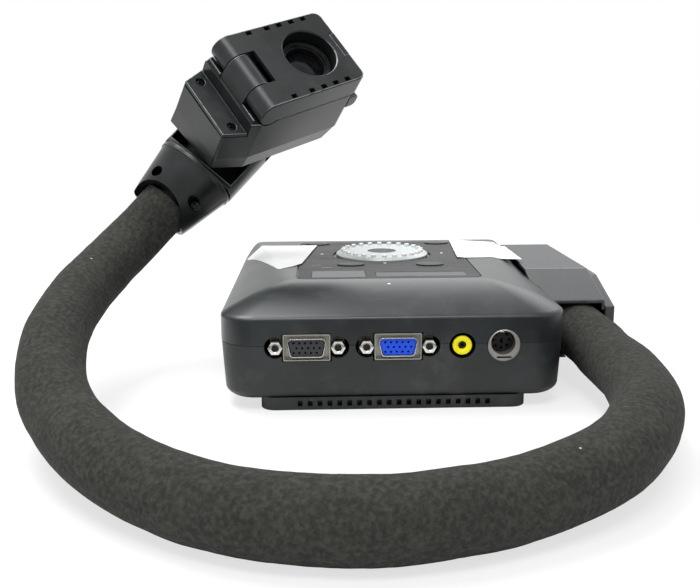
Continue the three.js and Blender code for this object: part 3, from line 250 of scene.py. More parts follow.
class Colours(PropertyGroup):
    shell: colour("Casing", 24, 28, 30, "Plastic of the base")
    shell_lower: colour("Lower casing", 22, 26, 27, "Plastic of the base's lower half")
    panel: colour("Panel", 20, 23, 25, "Inlay with the keys")
    window: colour("Window", 10, 12, 14, "Dark window in the panel")
    plate: colour("Plate", 52, 58, 60, "Bare plate in the panel")
    key: colour("Key", 15, 17, 18, "Rubbery keys")
    dial: colour("Dial", 182, 188, 189, "Silver paint of the dial")
    stud: colour("Stud", 224, 228, 228, "Pale tops of the dial's studs")
    head: colour("Head", 17, 19, 20, "Plastic of the head and collar")
    # Pale tone of scuffs, scratches and smudges; rounded edges are also painted in it as a painted
    # highlight
    scuff_and_highlight: colour("Worn edge", 118, 126, 128, "Rubbed edges of the plastic")
    dust: colour("Dust", 128, 128, 120, "Dust in the foam and on the plastic")
    foam: colour("Foam", 50, 50, 47, "Foam of the neck")
    nickel: colour("Nickel", 205, 204, 198, "Plated steel of the sockets")
    steel: colour("Steel", 150, 149, 142, "Dull steel of the sockets' frames")
    blue: colour("Blue", 24, 78, 222, "Insert of the incoming display socket")
    grey: colour("Grey", 50, 52, 54, "Insert of the outgoing display socket")
    yellow: colour("Yellow", 247, 236, 22, "Ring of the video jack")
    # It also fills the standoffs' bores, standing in for the shade inside those holes: painted shade
    black: colour("Black", 10, 11, 12, "Insert of the round socket and lens parts")
    paper: colour("Paper", 246, 247, 247, "Blank paper labels")
    print: colour("Print", 150, 156, 158, "Printed dashes on the panel")
    rubber: colour("Rubber", 18, 18, 18, "Feet")
    board: colour("Board", 16, 66, 38, "Circuit boards")
    floor: colour("Floor", 246, 247, 246, "Floor and backdrop")


class StageSizes(PropertyGroup):
    camera_x: size("Camera X", -27.3, "Place of the camera")
    camera_y: size("Camera Y", -411.4, "Place of the camera")
    camera_z: size("Camera Z", 122.8, "Place of the camera")
    pitch: turn("Pitch", 12.2, "How far the camera looks down")
    yaw: turn("Yaw", 1.6, "How far the camera looks to the right")
    roll: turn("Roll", 0.35, "How far the camera leans")
    view_width: share("View width", 0.7778, "Width of the view at a distance of 1")
    floor_half: size("Floor", 3000, "Half the width of the floor")


GROUPS = {"casing": CasingSizes, "plinth": PlinthSizes, "panel": PanelSizes, "dial": DialSizes,
    "display": DisplaySizes, "jack": JackSizes, "cover": CoverSizes, "neck": NeckSizes,
    "collar": CollarSizes, "yoke": YokeSizes, "head": HeadSizes, "lid": LidSizes, "lens": LensSizes,
    "label": LabelSizes, "colours": Colours, "stage": StageSizes}


class DocumentCamera(PropertyGroup):
    __annotations__ = {name: PointerProperty(type=group) for name, group in GROUPS.items()}


SETTINGS = (*GROUPS.values(), DocumentCamera)

# Places along the neck as shares of its reach, from the root, with heights over its radius
ROUTE_SHARES = ((0, 0.091, 0.058), (0, 0, 0.058), (0, -0.055, 0.057), (0.011, -0.121, 0.042),
    (0.022, -0.219, 0.025), (0.02, -0.364, 0.028), (-0.015, -0.532, 0.026), (-0.109, -0.674, 0.014),
    (-0.253, -0.767, 0.002), (-0.418, -0.818, 0.001), (-0.588, -0.802, 0.001), (-0.738, -0.719, 0.005),
    (-0.859, -0.597, 0.022), (-0.938, -0.469, 0.056), (-0.972, -0.326, 0.101), (-0.973, -0.176, 0.138),
    (-0.948, -0.029, 0.176), (-0.902, 0.068, 0.224), (-0.845, 0.1, 0.285), (-0.781, 0.14, 0.35))
BEND_SHARES = (0.2, 0.455, 0.755)
# Where the foam hangs off that line near the cover: place along it, reach and depth, in millimetres
SAGS = ((31, 31, 2.3), (70, 34, -0.4))
SLEEVE_BODIES = ("base", "neck_link_1", "neck_link_2", "neck_link_3")
# Places of the lid's vents, as shares of the way from the lens to the nose
VENT_SHARES = (-1.148, -0.624, -0.265, 0.095, 0.455)

# Places on the base in millimetres: lamps, then dashes as (x, y, length), then labels by the back
# and front ends of each fold
LAMP_PLACES = ((0.3, -3.2), (29.8, 22.8), (-28.7, 23.4), (-0.8, -45.4))
DASH_PLACES = ((-31.5, -6.5, 4.5), (-26.5, -12.5, 4.5))
LABELS = (
    # A sheet's folds are given from left to right, with the side that curls up
    ("left_label", (((-66.9, 41.5, 43.4), (-48.5, -13.4, 45.2)),
        ((-59.7, 48.4, 49.2), (-47.3, -14.1, 48.4)),
        ((-31.3, 46.5, 49.1), (-37.9, -5.2, 49.1))), "end"),
    ("right_label", (((38.9, 64.7, 49), (35.3, 7.5, 49.1)),
        ((67, 52.5, 46.8), (67.5, 13.5, 46.9))), "start"))

# Lamps: name, place and aim in metres, width and depth in metres, power in watts
LAMPS = (("lamp_above", (-0.4, 0.2, 1.25), (-0.03, 0, 0), 0.6, 0.6, 13),
    ("lamp_front", (-0.12, -0.58, 1.1), (-0.03, -0.05, 0.1), 0.75, 0.35, 8),
    ("lamp_behind", (0.25, 1.1, 0.9), (0, 0, 0.05), 1.2, 0.8, 5.5))
# Strength of the world's light on the object
AMBIENT = 0.5

# Faces of a solid that were rounded or chamfered carry this material index until they are dressed
ROUNDED = 1
CIRCLE_SIDES = 48
CORNER_STEPS = 10
# How far cutters reach past what they cut, and the size of the slivers that are merged away
PAST = 2 * MM
SLIVER = 0.004 * MM


# Outlines: lists of (u, v) places, anticlockwise


def corners(low_u, high_u, low_v, high_v, radius=0.0):
    return [(low_u, low_v, radius), (high_u, low_v, radius), (high_u, high_v, radius),
        (low_u, high_v, radius)]


def rounded_outline(places, steps=CORNER_STEPS):
    """Outline through (u, v, radius) corners, each turned on an arc of its radius."""
    outline = []
    for i, (u, v, radius) in enumerate(places):
        here = Vector((u, v))
        if radius == 0:
            outline.append((u, v))
            continue
        back = (Vector(places[i - 1][:2]) - here).normalized()
        ahead = (Vector(places[(i + 1) % len(places)][:2]) - here).normalized()
        half = back.angle(ahead) / 2
        centre = here + (back + ahead).normalized() * (radius / sin(half))
        first = here + back * (radius / tan(half)) - centre
        last = here + ahead * (radius / tan(half)) - centre
        whole = first.angle(last)
        for j in range(steps + 1):
            part = j / steps * whole
            spoke = first * sin(whole - part) + last * sin(part)
            outline.append(tuple(centre + spoke / sin(whole)))
    return outline


def box_outline(low_u, high_u, low_v, high_v, radius):
    return rounded_outline(corners(low_u, high_u, low_v, high_v, radius))


def plan(low, high, radius, grow=0.0):
    """Outline of a box seen from above, grown on all sides."""
    return box_outline(low.x - grow, high.x + grow, low.y - grow, high.y + grow, radius + grow)


def circle(u, v, radius, sides=CIRCLE_SIDES):
    return ellipse(u, v, radius, radius, sides)


def ellipse(u, v, half_u, half_v, sides=CIRCLE_SIDES):
    angles = [(i + 0.5) / sides * tau for i in range(sides)]
    return [(u + half_u * cos(a), v + half_v * sin(a)) for a in angles]


def arc(u, v, radius, start, end, steps):
    """Places on an arc, from one angle to the other."""
    angles = [start + (end - start) * i / steps for i in range(steps + 1)]
    return [(u + radius * cos(a), v + radius * sin(a)) for a in angles]


# Solids: closed meshes, at the origin until they are placed


def object_of(mesh):
    """An object with the mesh, and empty materials for its plain and its rounded faces."""
    mesh.materials.append(None)
    mesh.materials.append(None)
    solid = bpy.data.objects.new("solid", mesh)
    bpy.context.scene.collection.objects.link(solid)
    return solid


def solid_from(places, faces):
    mesh = bpy.data.meshes.new("solid")
    mesh.from_pydata([tuple(p) for p in places], [], faces)
    build = bmesh.new()
    build.from_mesh(mesh)
    bmesh.ops.remove_doubles(build, verts=build.verts, dist=1e-7)
    bmesh.ops.dissolve_degenerate(build, edges=build.edges, dist=1e-7)
    loose = [edge for edge in build.edges if not edge.link_faces]
    bmesh.ops.delete(build, geom=loose, context="EDGES")
    bmesh.ops.recalc_face_normals(build, faces=build.faces)
    build.to_mesh(mesh)
    build.free()
    return object_of(mesh)


def side_faces(rings, around):
    faces = []
    for ring in range(rings - 1):
        for i in range(around):
            a = ring * around + i
            b = ring * around + (i + 1) % around
            faces.append((a, b, b + around, a + around))
    return faces


def loft(rings):
    """Solid through rings of equal length, closed at both ends."""
    around = len(rings[0])
    last = (len(rings) - 1) * around
    faces = side_faces(len(rings), around)
    faces.append(tuple(range(around - 1, -1, -1)))
    faces.append(tuple(range(last, last + around)))
    return solid_from([p for ring in rings for p in ring], faces)


def walled(outer, inner, open_end=False):
    """Solid between two skins, given as rings from its open rim to its closed or open end."""
    around = len(outer[0])
    shift = len(outer) * around
    outer_end, inner_end = shift - around, shift + (len(inner) - 1) * around
    faces = side_faces(len(outer), around)
    faces += [tuple(shift + i for i in face[::-1]) for face in side_faces(len(inner), around)]
    if not open_end:
        faces.append(tuple(range(outer_end, outer_end + around)))
        faces.append(tuple(range(inner_end + around - 1, inner_end - 1, -1)))
    for i in range(around):
        j = (i + 1) % around
        faces.append((i, shift + i, shift + j, j))
        if open_end:
            faces.append((outer_end + j, inner_end + j, inner_end + i, outer_end + i))
    return solid_from([p for ring in outer + inner for p in ring], faces)


def at(axis, u, v, w):
    return {"x": (w, u, v), "y": (u, w, v), "z": (u, v, w)}[axis]


def prism(axis, outline, low, high):
    return loft([[at(axis, u, v, w) for u, v in outline] for w in (low, high)])


def box(low_x, high_x, low_y, high_y, low_z, high_z):
    outline = [(u, v) for u, v, _ in corners(low_x, high_x, low_y, high_y)]
    return prism("z", outline, low_z, high_z)


def turned(profile, sides=CIRCLE_SIDES):
    """Solid turned about Z from a closed profile of (radius, z) places."""
    rings = []
    for i in range(sides):
        angle = (i + 0.5) / sides * tau
        rings.append([(r * cos(angle), r * sin(angle), z) for r, z in profile])
    around = len(profile)
    places = [p for ring in rings for p in ring]
    faces = []
    for ring in range(sides):
        for i in range(around):
            j = (i + 1) % around
            next_ring = (ring + 1) % sides * around
            faces.append((ring * around + i, ring * around + j, next_ring + j, next_ring + i))
    return solid_from(places, faces)


def flared(axis, outline_at, low, high, chamfer, toward_high=True):
    """Cutter whose outer end opens by a chamfer. outline_at(grow) gives its outline."""
    rings = []
    if toward_high:
        stops = [(low, 0), (high - chamfer, 0), (high, chamfer), (high + PAST, chamfer)]
    else:
        stops = [(low - PAST, chamfer), (low, chamfer), (low + chamfer, 0), (high, 0)]
    for w, grow in stops:
        rings.append([at(axis, u, v, w) for u, v in outline_at(grow)])
    cutter = loft(rings)
    for face in cutter.data.polygons:
        across = abs(face.normal["xyz".index(axis)])
        if 0.3 < across < 0.95:
            face.material_index = ROUNDED
    return cutter


def applied(solid):
    """The solid with its modifiers turned into mesh."""
    bpy.context.view_layer.update()
    graph = bpy.context.evaluated_depsgraph_get()
    mesh = bpy.data.meshes.new_from_object(solid.evaluated_get(graph))
    solid.modifiers.clear()
    solid.data = mesh
    return solid


def combined(operation, solid, others):
    for other in others:
        step = solid.modifiers.new("step", "BOOLEAN")
        step.operation = operation
        step.solver = "EXACT"
        step.object = other
    applied(solid)
    for other in others:
        bpy.data.objects.remove(other)
    return solid


def carve(solid, *cutters):
    return combined("DIFFERENCE", solid, cutters)


def fuse(solid, *others):
    return combined("UNION", solid, others)


def common(solid, other):
    return combined("INTERSECT", solid, [other])


def gathered(solids):
    """One object from several solids that don't touch."""
    build = bmesh.new()
    for solid in solids:
        build.from_mesh(solid.data)
    mesh = bpy.data.meshes.new("solid")
    build.to_mesh(mesh)
    build.free()
    for solid in solids:
        bpy.data.objects.remove(solid)
    return object_of(mesh)


def soften(solid, radius, steps, sharper_than=radians(32), where=None):
    """Rounds the solid's sharp edges, or those of them that where() picks by their middle."""
    build = bmesh.new()
    build.from_mesh(solid.data)
    bmesh.ops.dissolve_limit(build, angle_limit=radians(0.3), verts=build.verts, edges=build.edges)
    picked = []
    for edge in build.edges:
        if not edge.is_manifold or edge.calc_face_angle(0) < sharper_than:
            continue
        if where is None or where((edge.verts[0].co + edge.verts[1].co) / 2):
            picked.append(edge)
    bmesh.ops.bevel(build, geom=picked, offset=radius, offset_type="OFFSET", segments=steps, profile=0.5,
        affect="EDGES", clamp_overlap=False, material=ROUNDED)
    build.to_mesh(solid.data)
    build.free()
    return solid


def cleaned(solid):
    """The solid without the slivers that cuts can leave."""
    build = bmesh.new()
    build.from_mesh(solid.data)
    bmesh.ops.remove_doubles(build, verts=build.verts, dist=SLIVER)
    bmesh.ops.dissolve_degenerate(build, edges=build.edges, dist=SLIVER)
    build.to_mesh(solid.data)
    build.free()
    return solid


def placed(solid, matrix):
    solid.data.transform(matrix)
    return solid


def dress(solid, name, body, material, stands_for=(), crease=35):
    """Turns a solid into a finished piece: named, smoothed, in its material and on its body."""
    cleaned(solid).name = name
    mesh = solid.data
    mesh.name = name
    edge = mesh.attributes.new("edge", "FLOAT", "CORNER")
    rounded = [0.0] * len(mesh.loops)
    for face in mesh.polygons:
        if face.material_index == ROUNDED:
            for loop in face.loop_indices:
                rounded[loop] = 1.0
    edge.data.foreach_set("value", rounded)
    mesh.polygons.foreach_set("material_index", [0] * len(mesh.polygons))
    mesh.materials.clear()
    mesh.materials.append(Materials.get(material))
    mesh.polygons.foreach_set("use_smooth", [True] * len(mesh.polygons))
    mesh.set_sharp_from_angle(angle=radians(crease))
    weighted = solid.modifiers.new("weighted", "WEIGHTED_NORMAL")
    weighted.keep_sharp = True
    weighted.weight = 80
    applied(solid)
    solid.data.name = name
    if stands_for:
        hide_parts(*stands_for)
    if body:
        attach(solid, body)
    return solid


# Materials


class Value:
    """A socket of a material, with arithmetic that adds Math nodes."""

    def __init__(self, finish, socket):
        self.finish = finish
        self.socket = socket

    def maths(self, operation, *values):
        return self.finish.node("ShaderNodeMath", {"operation": operation}, values)

    def __add__(self, other):
        return self.maths("ADD", self, other)

    def __radd__(self, other):
        return self.maths("ADD", other, self)

    def __sub__(self, other):
        return self.maths("SUBTRACT", self, other)

    def __rsub__(self, other):
        return self.maths("SUBTRACT", other, self)

    def __mul__(self, other):
        return self.maths("MULTIPLY", self, other)

    def __rmul__(self, other):
        return self.maths("MULTIPLY", other, self)

    def most(self, other):
        return self.maths("MAXIMUM", self, other)


class Finish:
    """The nodes of a material or world under construction."""

    def __init__(self, owner):
        self.owner = owner
        owner.use_nodes = True
        self.tree = owner.node_tree
        self.tree.nodes.clear()
        self.place_on_object = None

    @property
    def place(self):
        if self.place_on_object is None:
            self.place_on_object = self.node("ShaderNodeTexCoord", output="Object")
        return self.place_on_object

    def node(self, kind, settings=None, inputs=(), output=0):
        """Adds a node: its settings are set first, then its sockets' values or links."""
        made = self.tree.nodes.new(kind)
        for name, value in (settings or {}).items():
            if name == "stops":
                self.set_stops(made.color_ramp, value)
            else:
                setattr(made, name, value)
        pairs = inputs.items() if isinstance(inputs, dict) else enumerate(inputs)
        for socket, value in pairs:
            if isinstance(value, Value):
                self.tree.links.new(value.socket, made.inputs[socket])
            else:
                made.inputs[socket].default_value = value
        return None if output is None else Value(self, made.outputs[output])

    def set_stops(self, ramp, stops):
        while len(ramp.elements) < len(stops):
            ramp.elements.new(1)
        for element, (position, shade) in zip(ramp.elements, stops):
            element.position = position
            element.color = shade

    def stretched(self, x, y, z):
        """The place on the object, with each direction scaled."""
        settings = {"operation": "MULTIPLY"}
        return self.node("ShaderNodeVectorMath", settings, [self.place, (x, y, z)])

    def grain(self, breadth, detail, roughness=0.5, place=None):
        """Noise from 0 to 1 whose blots are about as broad as given, in metres."""
        inputs = {"Vector": place or self.place, "Scale": 1 / breadth, "Detail": detail,
            "Roughness": roughness}
        return self.node("ShaderNodeTexNoise", None, inputs)

    def cells(self, breadth, place=None):
        """Distance to the nearest of scattered points, in shares of their spacing."""
        inputs = {"Vector": place or self.place, "Scale": 1 / breadth}
        return self.node("ShaderNodeTexVoronoi", None, inputs, "Distance")

    def between(self, value, low, high):
        """0 under low, 1 over high, and a smooth step between them."""
        settings = {"interpolation_type": "SMOOTHSTEP"}
        return self.node("ShaderNodeMapRange", settings, [value, low, high, 0.0, 1.0])

    def mix(self, factor, first, second):
        inputs = {0: factor, 6: first, 7: second}
        return self.node("ShaderNodeMix", {"data_type": "RGBA"}, inputs, 2)

    def bump(self, height, depth, strength):
        inputs = {"Height": height, "Distance": depth, "Strength": strength}
        return self.node("ShaderNodeBump", None, inputs)

    def edges(self):
        """1 on rounded edges."""
        return self.node("ShaderNodeAttribute", {"attribute_name": "edge"}, output="Fac")

    def upright(self):
        """How far the surface faces up, from -1 to 1."""
        normal = self.node("ShaderNodeNewGeometry", output="Normal")
        settings = {"operation": "DOT_PRODUCT"}
        return self.node("ShaderNodeVectorMath", settings, [normal, (0, 0, 1)], "Value")

    def done(self, **sockets):
        """Adds the shader. A socket is named with underscores for its spaces."""
        inputs = {name.replace("_", " "): value for name, value in sockets.items()}
        shader = self.node("ShaderNodeBsdfPrincipled", None, inputs)
        self.node("ShaderNodeOutputMaterial", None, {"Surface": shader}, None)
        return self.owner


def colours():
    return bpy.context.scene.document_camera.colours


def started(name):
    """An empty material, and the colours to make it from."""
    return Finish(bpy.data.materials.new(name)), colours()


def moulded_plastic(name, base, gloss, dusty=0.2, texture=0.5, edge_highlight_and_scuff=0.5, shine=0.5):
    """Satin plastic: slow smudges, fine moulding grain, hairline scratches, and rounded edges painted pale
    where they face up, partly as scuffing and partly as a painted highlight.
    """
    finish, tint = started(name)
    smudge = finish.between(finish.grain(0.04, 4, 0.6), 0.4, 0.7)
    grit = finish.grain(0.00045, 2, 0.6)
    hairline = finish.grain(0.0009, 3, 0.75, finish.stretched(0.06, 1, 1))
    scratch = finish.between(hairline, 0.68, 0.74)
    # Rounded edges that face up are painted pale: a painted highlight of the lamps above, broken up by
    # noise like scuffing
    upward = finish.between(finish.upright(), 0.0, 0.5)
    lit_scuffed_edges = finish.edges() * upward * finish.between(finish.grain(0.0035, 3), 0.2, 0.6)
    speck = 1 - finish.between(finish.cells(0.0065), 0.02, 0.055)
    haze = finish.between(finish.grain(0.012, 5, 0.7), 0.5, 0.75)
    shade = finish.mix(smudge * 0.06, base, tint.scuff_and_highlight)
    shade = finish.mix(haze * dusty * 0.3 + speck * dusty * 1.5, shade, tint.dust)
    # Mixes in the painted highlight on upward-facing edges, which doubles as scuffing, and pale scratches
    shade = finish.mix(lit_scuffed_edges * edge_highlight_and_scuff + scratch * 0.12, shade, tint.scuff_and_highlight)
    relief = finish.bump(grit * texture - scratch * 0.6, 0.00004, 0.6)
    return finish.done(Base_Color=shade, Roughness=gloss + smudge * 0.04 + haze * dusty * 0.2 - lit_scuffed_edges
        * 0.08, IOR=1.46, Specular_IOR_Level=shine, Normal=relief)


def glossy_sheet(name, base, gloss):
    """Printed inlay: smooth, with faint wiped marks."""
    finish, tint = started(name)
    wiped = finish.between(finish.grain(0.009, 4, 0.65, finish.stretched(0.35, 1, 1)), 0.45, 0.7)
    speck = 1 - finish.between(finish.cells(0.005), 0.02, 0.05)
    shade = finish.mix(wiped * 0.12 + speck * 0.3, base, tint.dust)
    # Rounded edges painted paler: partly scuffing, partly a painted highlight
    shade = finish.mix(finish.edges() * 0.35, shade, tint.scuff_and_highlight)
    relief = finish.bump(finish.grain(0.0004, 2), 0.00001, 0.5)
    return finish.done(Base_Color=shade, Roughness=gloss + wiped * 0.14, Normal=relief,
        Specular_IOR_Level=0.25)


def foam_rubber():
    """Closed-cell foam skin: matte, pored, with dusty patches and white specks."""
    finish, tint = started("foam")
    pores = finish.cells(0.0012)
    crumbs = finish.grain(0.0014, 3, 0.75)
    mottle = finish.grain(0.0017, 2, 0.6)
    patch = finish.between(finish.grain(0.024, 5, 0.72), 0.46, 0.74)
    speck = 1 - finish.between(finish.cells(0.021), 0.008, 0.024)
    shade = finish.mix(crumbs * 0.8, tint.foam, tint.rubber)
    shade = finish.mix(finish.between(mottle, 0.3, 0.8) * 0.14 + patch * 0.03, shade, tint.dust)
    shade = finish.mix(speck * 0.6, shade, tint.paper)
    relief = finish.bump(crumbs * 0.8 + pores * 0.4, 0.00035, 0.6)
    return finish.done(Base_Color=shade, Roughness=0.95 - patch * 0.06, Normal=relief,
        Specular_IOR_Level=0.2)


def plated_steel(name, base, gloss):
    """Plated metal: bright, with dull patches and fine scuffing."""
    finish, tint = started(name)
    dull = finish.between(finish.grain(0.003, 4, 0.7), 0.45, 0.75)
    stain = finish.between(finish.grain(0.0011, 3, 0.7), 0.55, 0.8)
    shade = finish.mix(stain * 0.15, base, tint.dust)
    relief = finish.bump(finish.grain(0.0003, 2), 0.000004, 0.4)
    return finish.done(Base_Color=shade, Metallic=0.85 - stain * 0.15, Roughness=gloss + dull * 0.12,
        Normal=relief)


def silver_paint(name, base):
    """Metal-flake paint over plastic, a little scuffed."""
    finish, tint = started(name)
    flake = finish.grain(0.00025, 1)
    grime = finish.between(finish.grain(0.004, 5, 0.7), 0.5, 0.8)
    shade = finish.mix(grime * 0.25, base, tint.dust)
    shade = finish.mix(flake * 0.15, shade, tint.nickel)
    relief = finish.bump(flake, 0.00001, 0.5)
    return finish.done(Base_Color=shade, Metallic=0.25, Roughness=0.32 + grime * 0.2, Normal=relief)


def socket_plastic(name, base):
    """Glass-filled plastic of the socket inserts."""
    finish, tint = started(name)
    cloud = finish.grain(0.0016, 3, 0.6)
    shade = finish.mix(finish.between(cloud, 0.5, 0.9) * 0.2, base, tint.dust)
    relief = finish.bump(finish.grain(0.0003, 2), 0.00002, 0.5)
    return finish.done(Base_Color=shade, Roughness=0.4 + cloud * 0.15, Normal=relief,
        Specular_IOR_Level=0.3)


def soft_rubber(name, base):
    """Matte rubber of the keys and feet."""
    finish, tint = started(name)
    # Random scuffed patches, mixed a little towards dust
    scuff_and_highlight = finish.between(finish.grain(0.0025, 4, 0.7), 0.5, 0.8)
    shade = finish.mix(scuff_and_highlight * 0.12, base, tint.dust)
    # Rounded edges painted paler: partly scuffing, partly a painted highlight
    shade = finish.mix(finish.edges() * 0.3, shade, tint.scuff_and_highlight)
    relief = finish.bump(finish.grain(0.0005, 3), 0.00004, 0.5)
    return finish.done(Base_Color=shade, Roughness=0.5 + scuff_and_highlight * 0.2, Normal=relief)


def coated_glass():
    """Dark coated glass of the lens."""
    finish, tint = started("lens_glass")
    smear = finish.between(finish.grain(0.004, 3, 0.6), 0.45, 0.8)
    shade = finish.mix(smear * 0.05, tint.window, tint.scuff_and_highlight)
    return finish.done(Base_Color=shade, Roughness=0.06 + smear * 0.06, IOR=1.4, Specular_IOR_Level=0.3)


def paper_label():
    """Blank paper, a little creased and soiled."""
    finish, tint = started("paper_label")
    crease = finish.grain(0.009, 4, 0.6, finish.stretched(0.5, 1, 1))
    fibre = finish.grain(0.0006, 3, 0.7)
    soil = finish.between(finish.grain(0.011, 4, 0.7), 0.5, 0.8)
    shade = finish.mix(soil * 0.14 + fibre * 0.06, tint.paper, tint.dust)
    relief = finish.bump(crease * 0.8 + fibre * 0.1, 0.0006, 0.6)
    return finish.done(Base_Color=shade, Roughness=0.55 - soil * 0.1, Normal=relief)


def circuit_board():
    """Lacquered board with copper tracks."""
    finish, tint = started("circuit_board")
    track = finish.between(finish.cells(0.004, finish.stretched(1, 0.4, 1)), 0.46, 0.5)
    shade = finish.mix(track * 0.35, tint.board, tint.dust)
    relief = finish.bump(track, 0.00005, 0.6)
    return finish.done(Base_Color=shade, Roughness=0.4 + track * 0.2, Normal=relief)


def plain_paint(name, base, gloss):
    """Small painted or printed detail."""
    finish, tint = started(name)
    cloud = finish.grain(0.0012, 3, 0.6)
    shade = finish.mix(cloud * 0.12, base, tint.dust)
    return finish.done(Base_Color=shade, Roughness=gloss + cloud * 0.1)


# Each material's recipe, its colour and the recipe's further values
# For moulded plastic the fourth further value sets how strongly upward-facing rounded edges are painted
# pale, a painted highlight that doubles as scuffing; it is strongest on the head
RECIPES = {"casing": (moulded_plastic, "shell", 0.3),
    "casing_lower": (moulded_plastic, "shell_lower", 0.42, 0.35),
    "cover": (moulded_plastic, "shell", 0.42, 0.3, 0.9, 0.15),
    "head": (moulded_plastic, "head", 0.3, 0.12, 0.6, 1.5, 0.36), "panel": (glossy_sheet, "panel", 0.5),
    "window": (glossy_sheet, "window", 0.12), "plate": (glossy_sheet, "plate", 0.35),
    "foam": (foam_rubber, None), "nickel": (plated_steel, "nickel", 0.2),
    "dull_steel": (plated_steel, "steel", 0.42), "dark_screw": (plated_steel, "key", 0.4),
    "dial": (silver_paint, "dial"), "stud": (silver_paint, "stud"), "key": (soft_rubber, "key"),
    "rubber": (soft_rubber, "rubber"), "blue": (socket_plastic, "blue"), "grey": (socket_plastic, "grey"),
    "black": (socket_plastic, "black"), "yellow": (socket_plastic, "yellow"), "glass": (coated_glass, None),
    "paper": (paper_label, None), "board": (circuit_board, None), "print": (plain_paint, "print", 0.5),
    "lamp": (plain_paint, "stud", 0.3)}


class Materials:
    """The object's materials, each made when it is first asked for."""

    made = {}

    @classmethod
    def get(cls, name):
        if name not in cls.made:
            recipe, tint, *values = RECIPES[name]
            base = [name, getattr(colours(), tint)] if tint else []
            cls.made[name] = recipe(*base, *values)
        return cls.made[name]


def built(context, *makers):
    """Lets each maker build its pieces from the scene's settings, for an operator."""
    for make in makers:
        make(context.scene.document_camera)
    return {"FINISHED"}


# Base


def body_ring(s, z, inset):
    x = s.half_width - inset
    y = s.half_depth - inset
    shrink = min(inset, s.back_radius - s.top_radius)
    front = s.front_radius - shrink
    back = s.back_radius - shrink
    outline = rounded_outline([(-x, -y, front), (x, -y, front), (x, y, back), (-x, y, back)])
    return [(u, v, z) for u, v in outline]


def blended(first, last, part):
    return first + (last - first) * part


def crown_ring(s, part, inset, drop):
    front = blended(s.half_width, s.half_width * s.front_share, part) - inset
    back = blended(s.half_width, s.half_width * s.back_share, part) - inset
    front_y = blended(-s.half_depth, -s.half_depth + s.front_slope, part) + inset
    back_y = blended(s.half_depth, s.half_depth - s.back_slope, part) - inset
    shrink = min(inset, s.back_radius - s.top_radius) * (1 - part)
    front_radius = blended(s.front_radius, s.top_radius, part) - shrink
    back_radius = blended(s.back_radius, s.top_radius, part) - shrink
    z = blended(s.rim_z, s.top_z, 1 - (1 - part) ** s.crown_power) - drop
    outline = rounded_outline([(-front, front_y, front_radius), (front, front_y, front_radius),
        (back, back_y, back_radius), (-back, back_y, back_radius)])
    return [(u, v, z) for u, v in outline]


def upper_rings(s, inset, drop, low_z):
    """Rings of the upper shell's skin from its lower edge to the flat top, round at the rim."""
    rings = [body_ring(s, low_z, inset)]
    below = body_ring(s, s.rim_z - s.rim_radius - drop, inset)
    corner = body_ring(s, s.rim_z - drop, inset)
    first_part = 1 / s.crown_steps
    above = crown_ring(s, first_part, inset, drop)
    round_steps = 6
    for i in range(round_steps + 1):
        t = i / round_steps
        rings.append([tuple((1 - t) ** 2 * p + 2 * t * (1 - t) * q + t * t * r for p, q, r in zip(*places))
            for places in zip(below, corner, above)])
    for i in range(2, s.crown_steps + 1):
        rings.append(crown_ring(s, i / s.crown_steps, inset, drop))
    return rings


def lower_rings(s, inset, floor_z, top_z):
    """Rings of the lower shell's skin from its upper edge down to the underside."""
    rings = [body_ring(s, top_z, inset + s.skirt_step)]
    round_top = s.underside_z + s.round_height
    steps = 8
    for i in range(steps, -1, -1):
        angle = i / steps * pi / 2
        z = floor_z + (round_top - floor_z) * (1 - cos(angle))
        bottom_inset = s.round_width * (1 - sin(angle))
        rings.append(body_ring(s, z, inset + s.skirt_step + s.draft + bottom_inset))
    return rings


def edged(s, rings, inset, rise):
    """The rings, with the first one's edge rounded off."""
    first = rings[0]
    z = first[0][2]
    softer = body_ring(s, z, inset + s.edge)
    part = s.edge * (1 - sqrt(0.5))
    half = body_ring(s, z + rise * part, inset + part)
    whole = body_ring(s, z + rise * s.edge, inset)
    return [softer, half, whole] + rings[1:]


def front_y(s):
    return -s.half_depth


def display_outline(d, x, z, grow):
    half = d.width / 2 + grow
    slant = d.width * d.slant_share
    height = d.height / 2 + grow
    radius = d.corner_radius + grow
    return rounded_outline([(x - half + slant, z - height, radius), (x + half - slant, z - height, radius),
        (x + half, z + height, radius), (x - half, z + height, radius)], 6)


def middle(node):
    low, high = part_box(node)
    return (low + high) / 2


def display_places():
    """Name and centre of each display socket, read from its insert."""
    return [(name, middle(f"{name}_insert")) for name in ("display_out", "display_in")]


def socket_cuts(settings):
    """Cutters for the openings round the sockets, with a small chamfer outside."""
    s, d, j = settings.casing, settings.display, settings.jack
    low = front_y(s)
    high = low + s.wall + PAST
    chamfer = s.edge
    cutters = []
    for _, place in display_places():
        x, z = place.x, place.z
        cutters.append(prism("y", box_outline(x - d.cut_width / 2, x + d.cut_width / 2, z - d.cut_height
            / 2, z + d.cut_height / 2, s.edge), low - PAST, high))
        for side in (-1, 1):
            ear_x = x + side * d.screw_spacing / 2
            cutters.append(flared("y", lambda grow, ear_x=ear_x, z=z: circle(ear_x, z, d.ear_radius + grow),
                low, high, chamfer, False))
    for node, radius in (("video_jack_ring", j.video_hole),
        ("serial_jack_shell", j.serial_radius + s.parting_gap)):
        x = middle(node).x
        z = middle("display_in_insert").z
        cutters.append(flared("y", lambda grow, x=x, z=z, radius=radius: circle(x, z, radius + grow), low,
            high, chamfer, False))
    return cutters


def key_names():
    return ("front_left_key", "front_right_key", "back_right_key", "back_left_key")


def ground_of(names):
    """The faces of the named pieces, to drop places on."""
    build = bmesh.new()
    for name in names:
        build.from_mesh(bpy.data.objects[name].data)
    tree = BVHTree.FromBMesh(build)
    build.free()
    return tree


def dropped(ground, place):
    """The highest point of the ground at a place on the plan."""
    hit = ground.ray_cast(Vector((place.x, place.y, 1)), Vector((0, 0, -1)))[0]
    if hit is None:
        raise RuntimeError(f"Nothing lies under {tuple(place)}")
    return hit


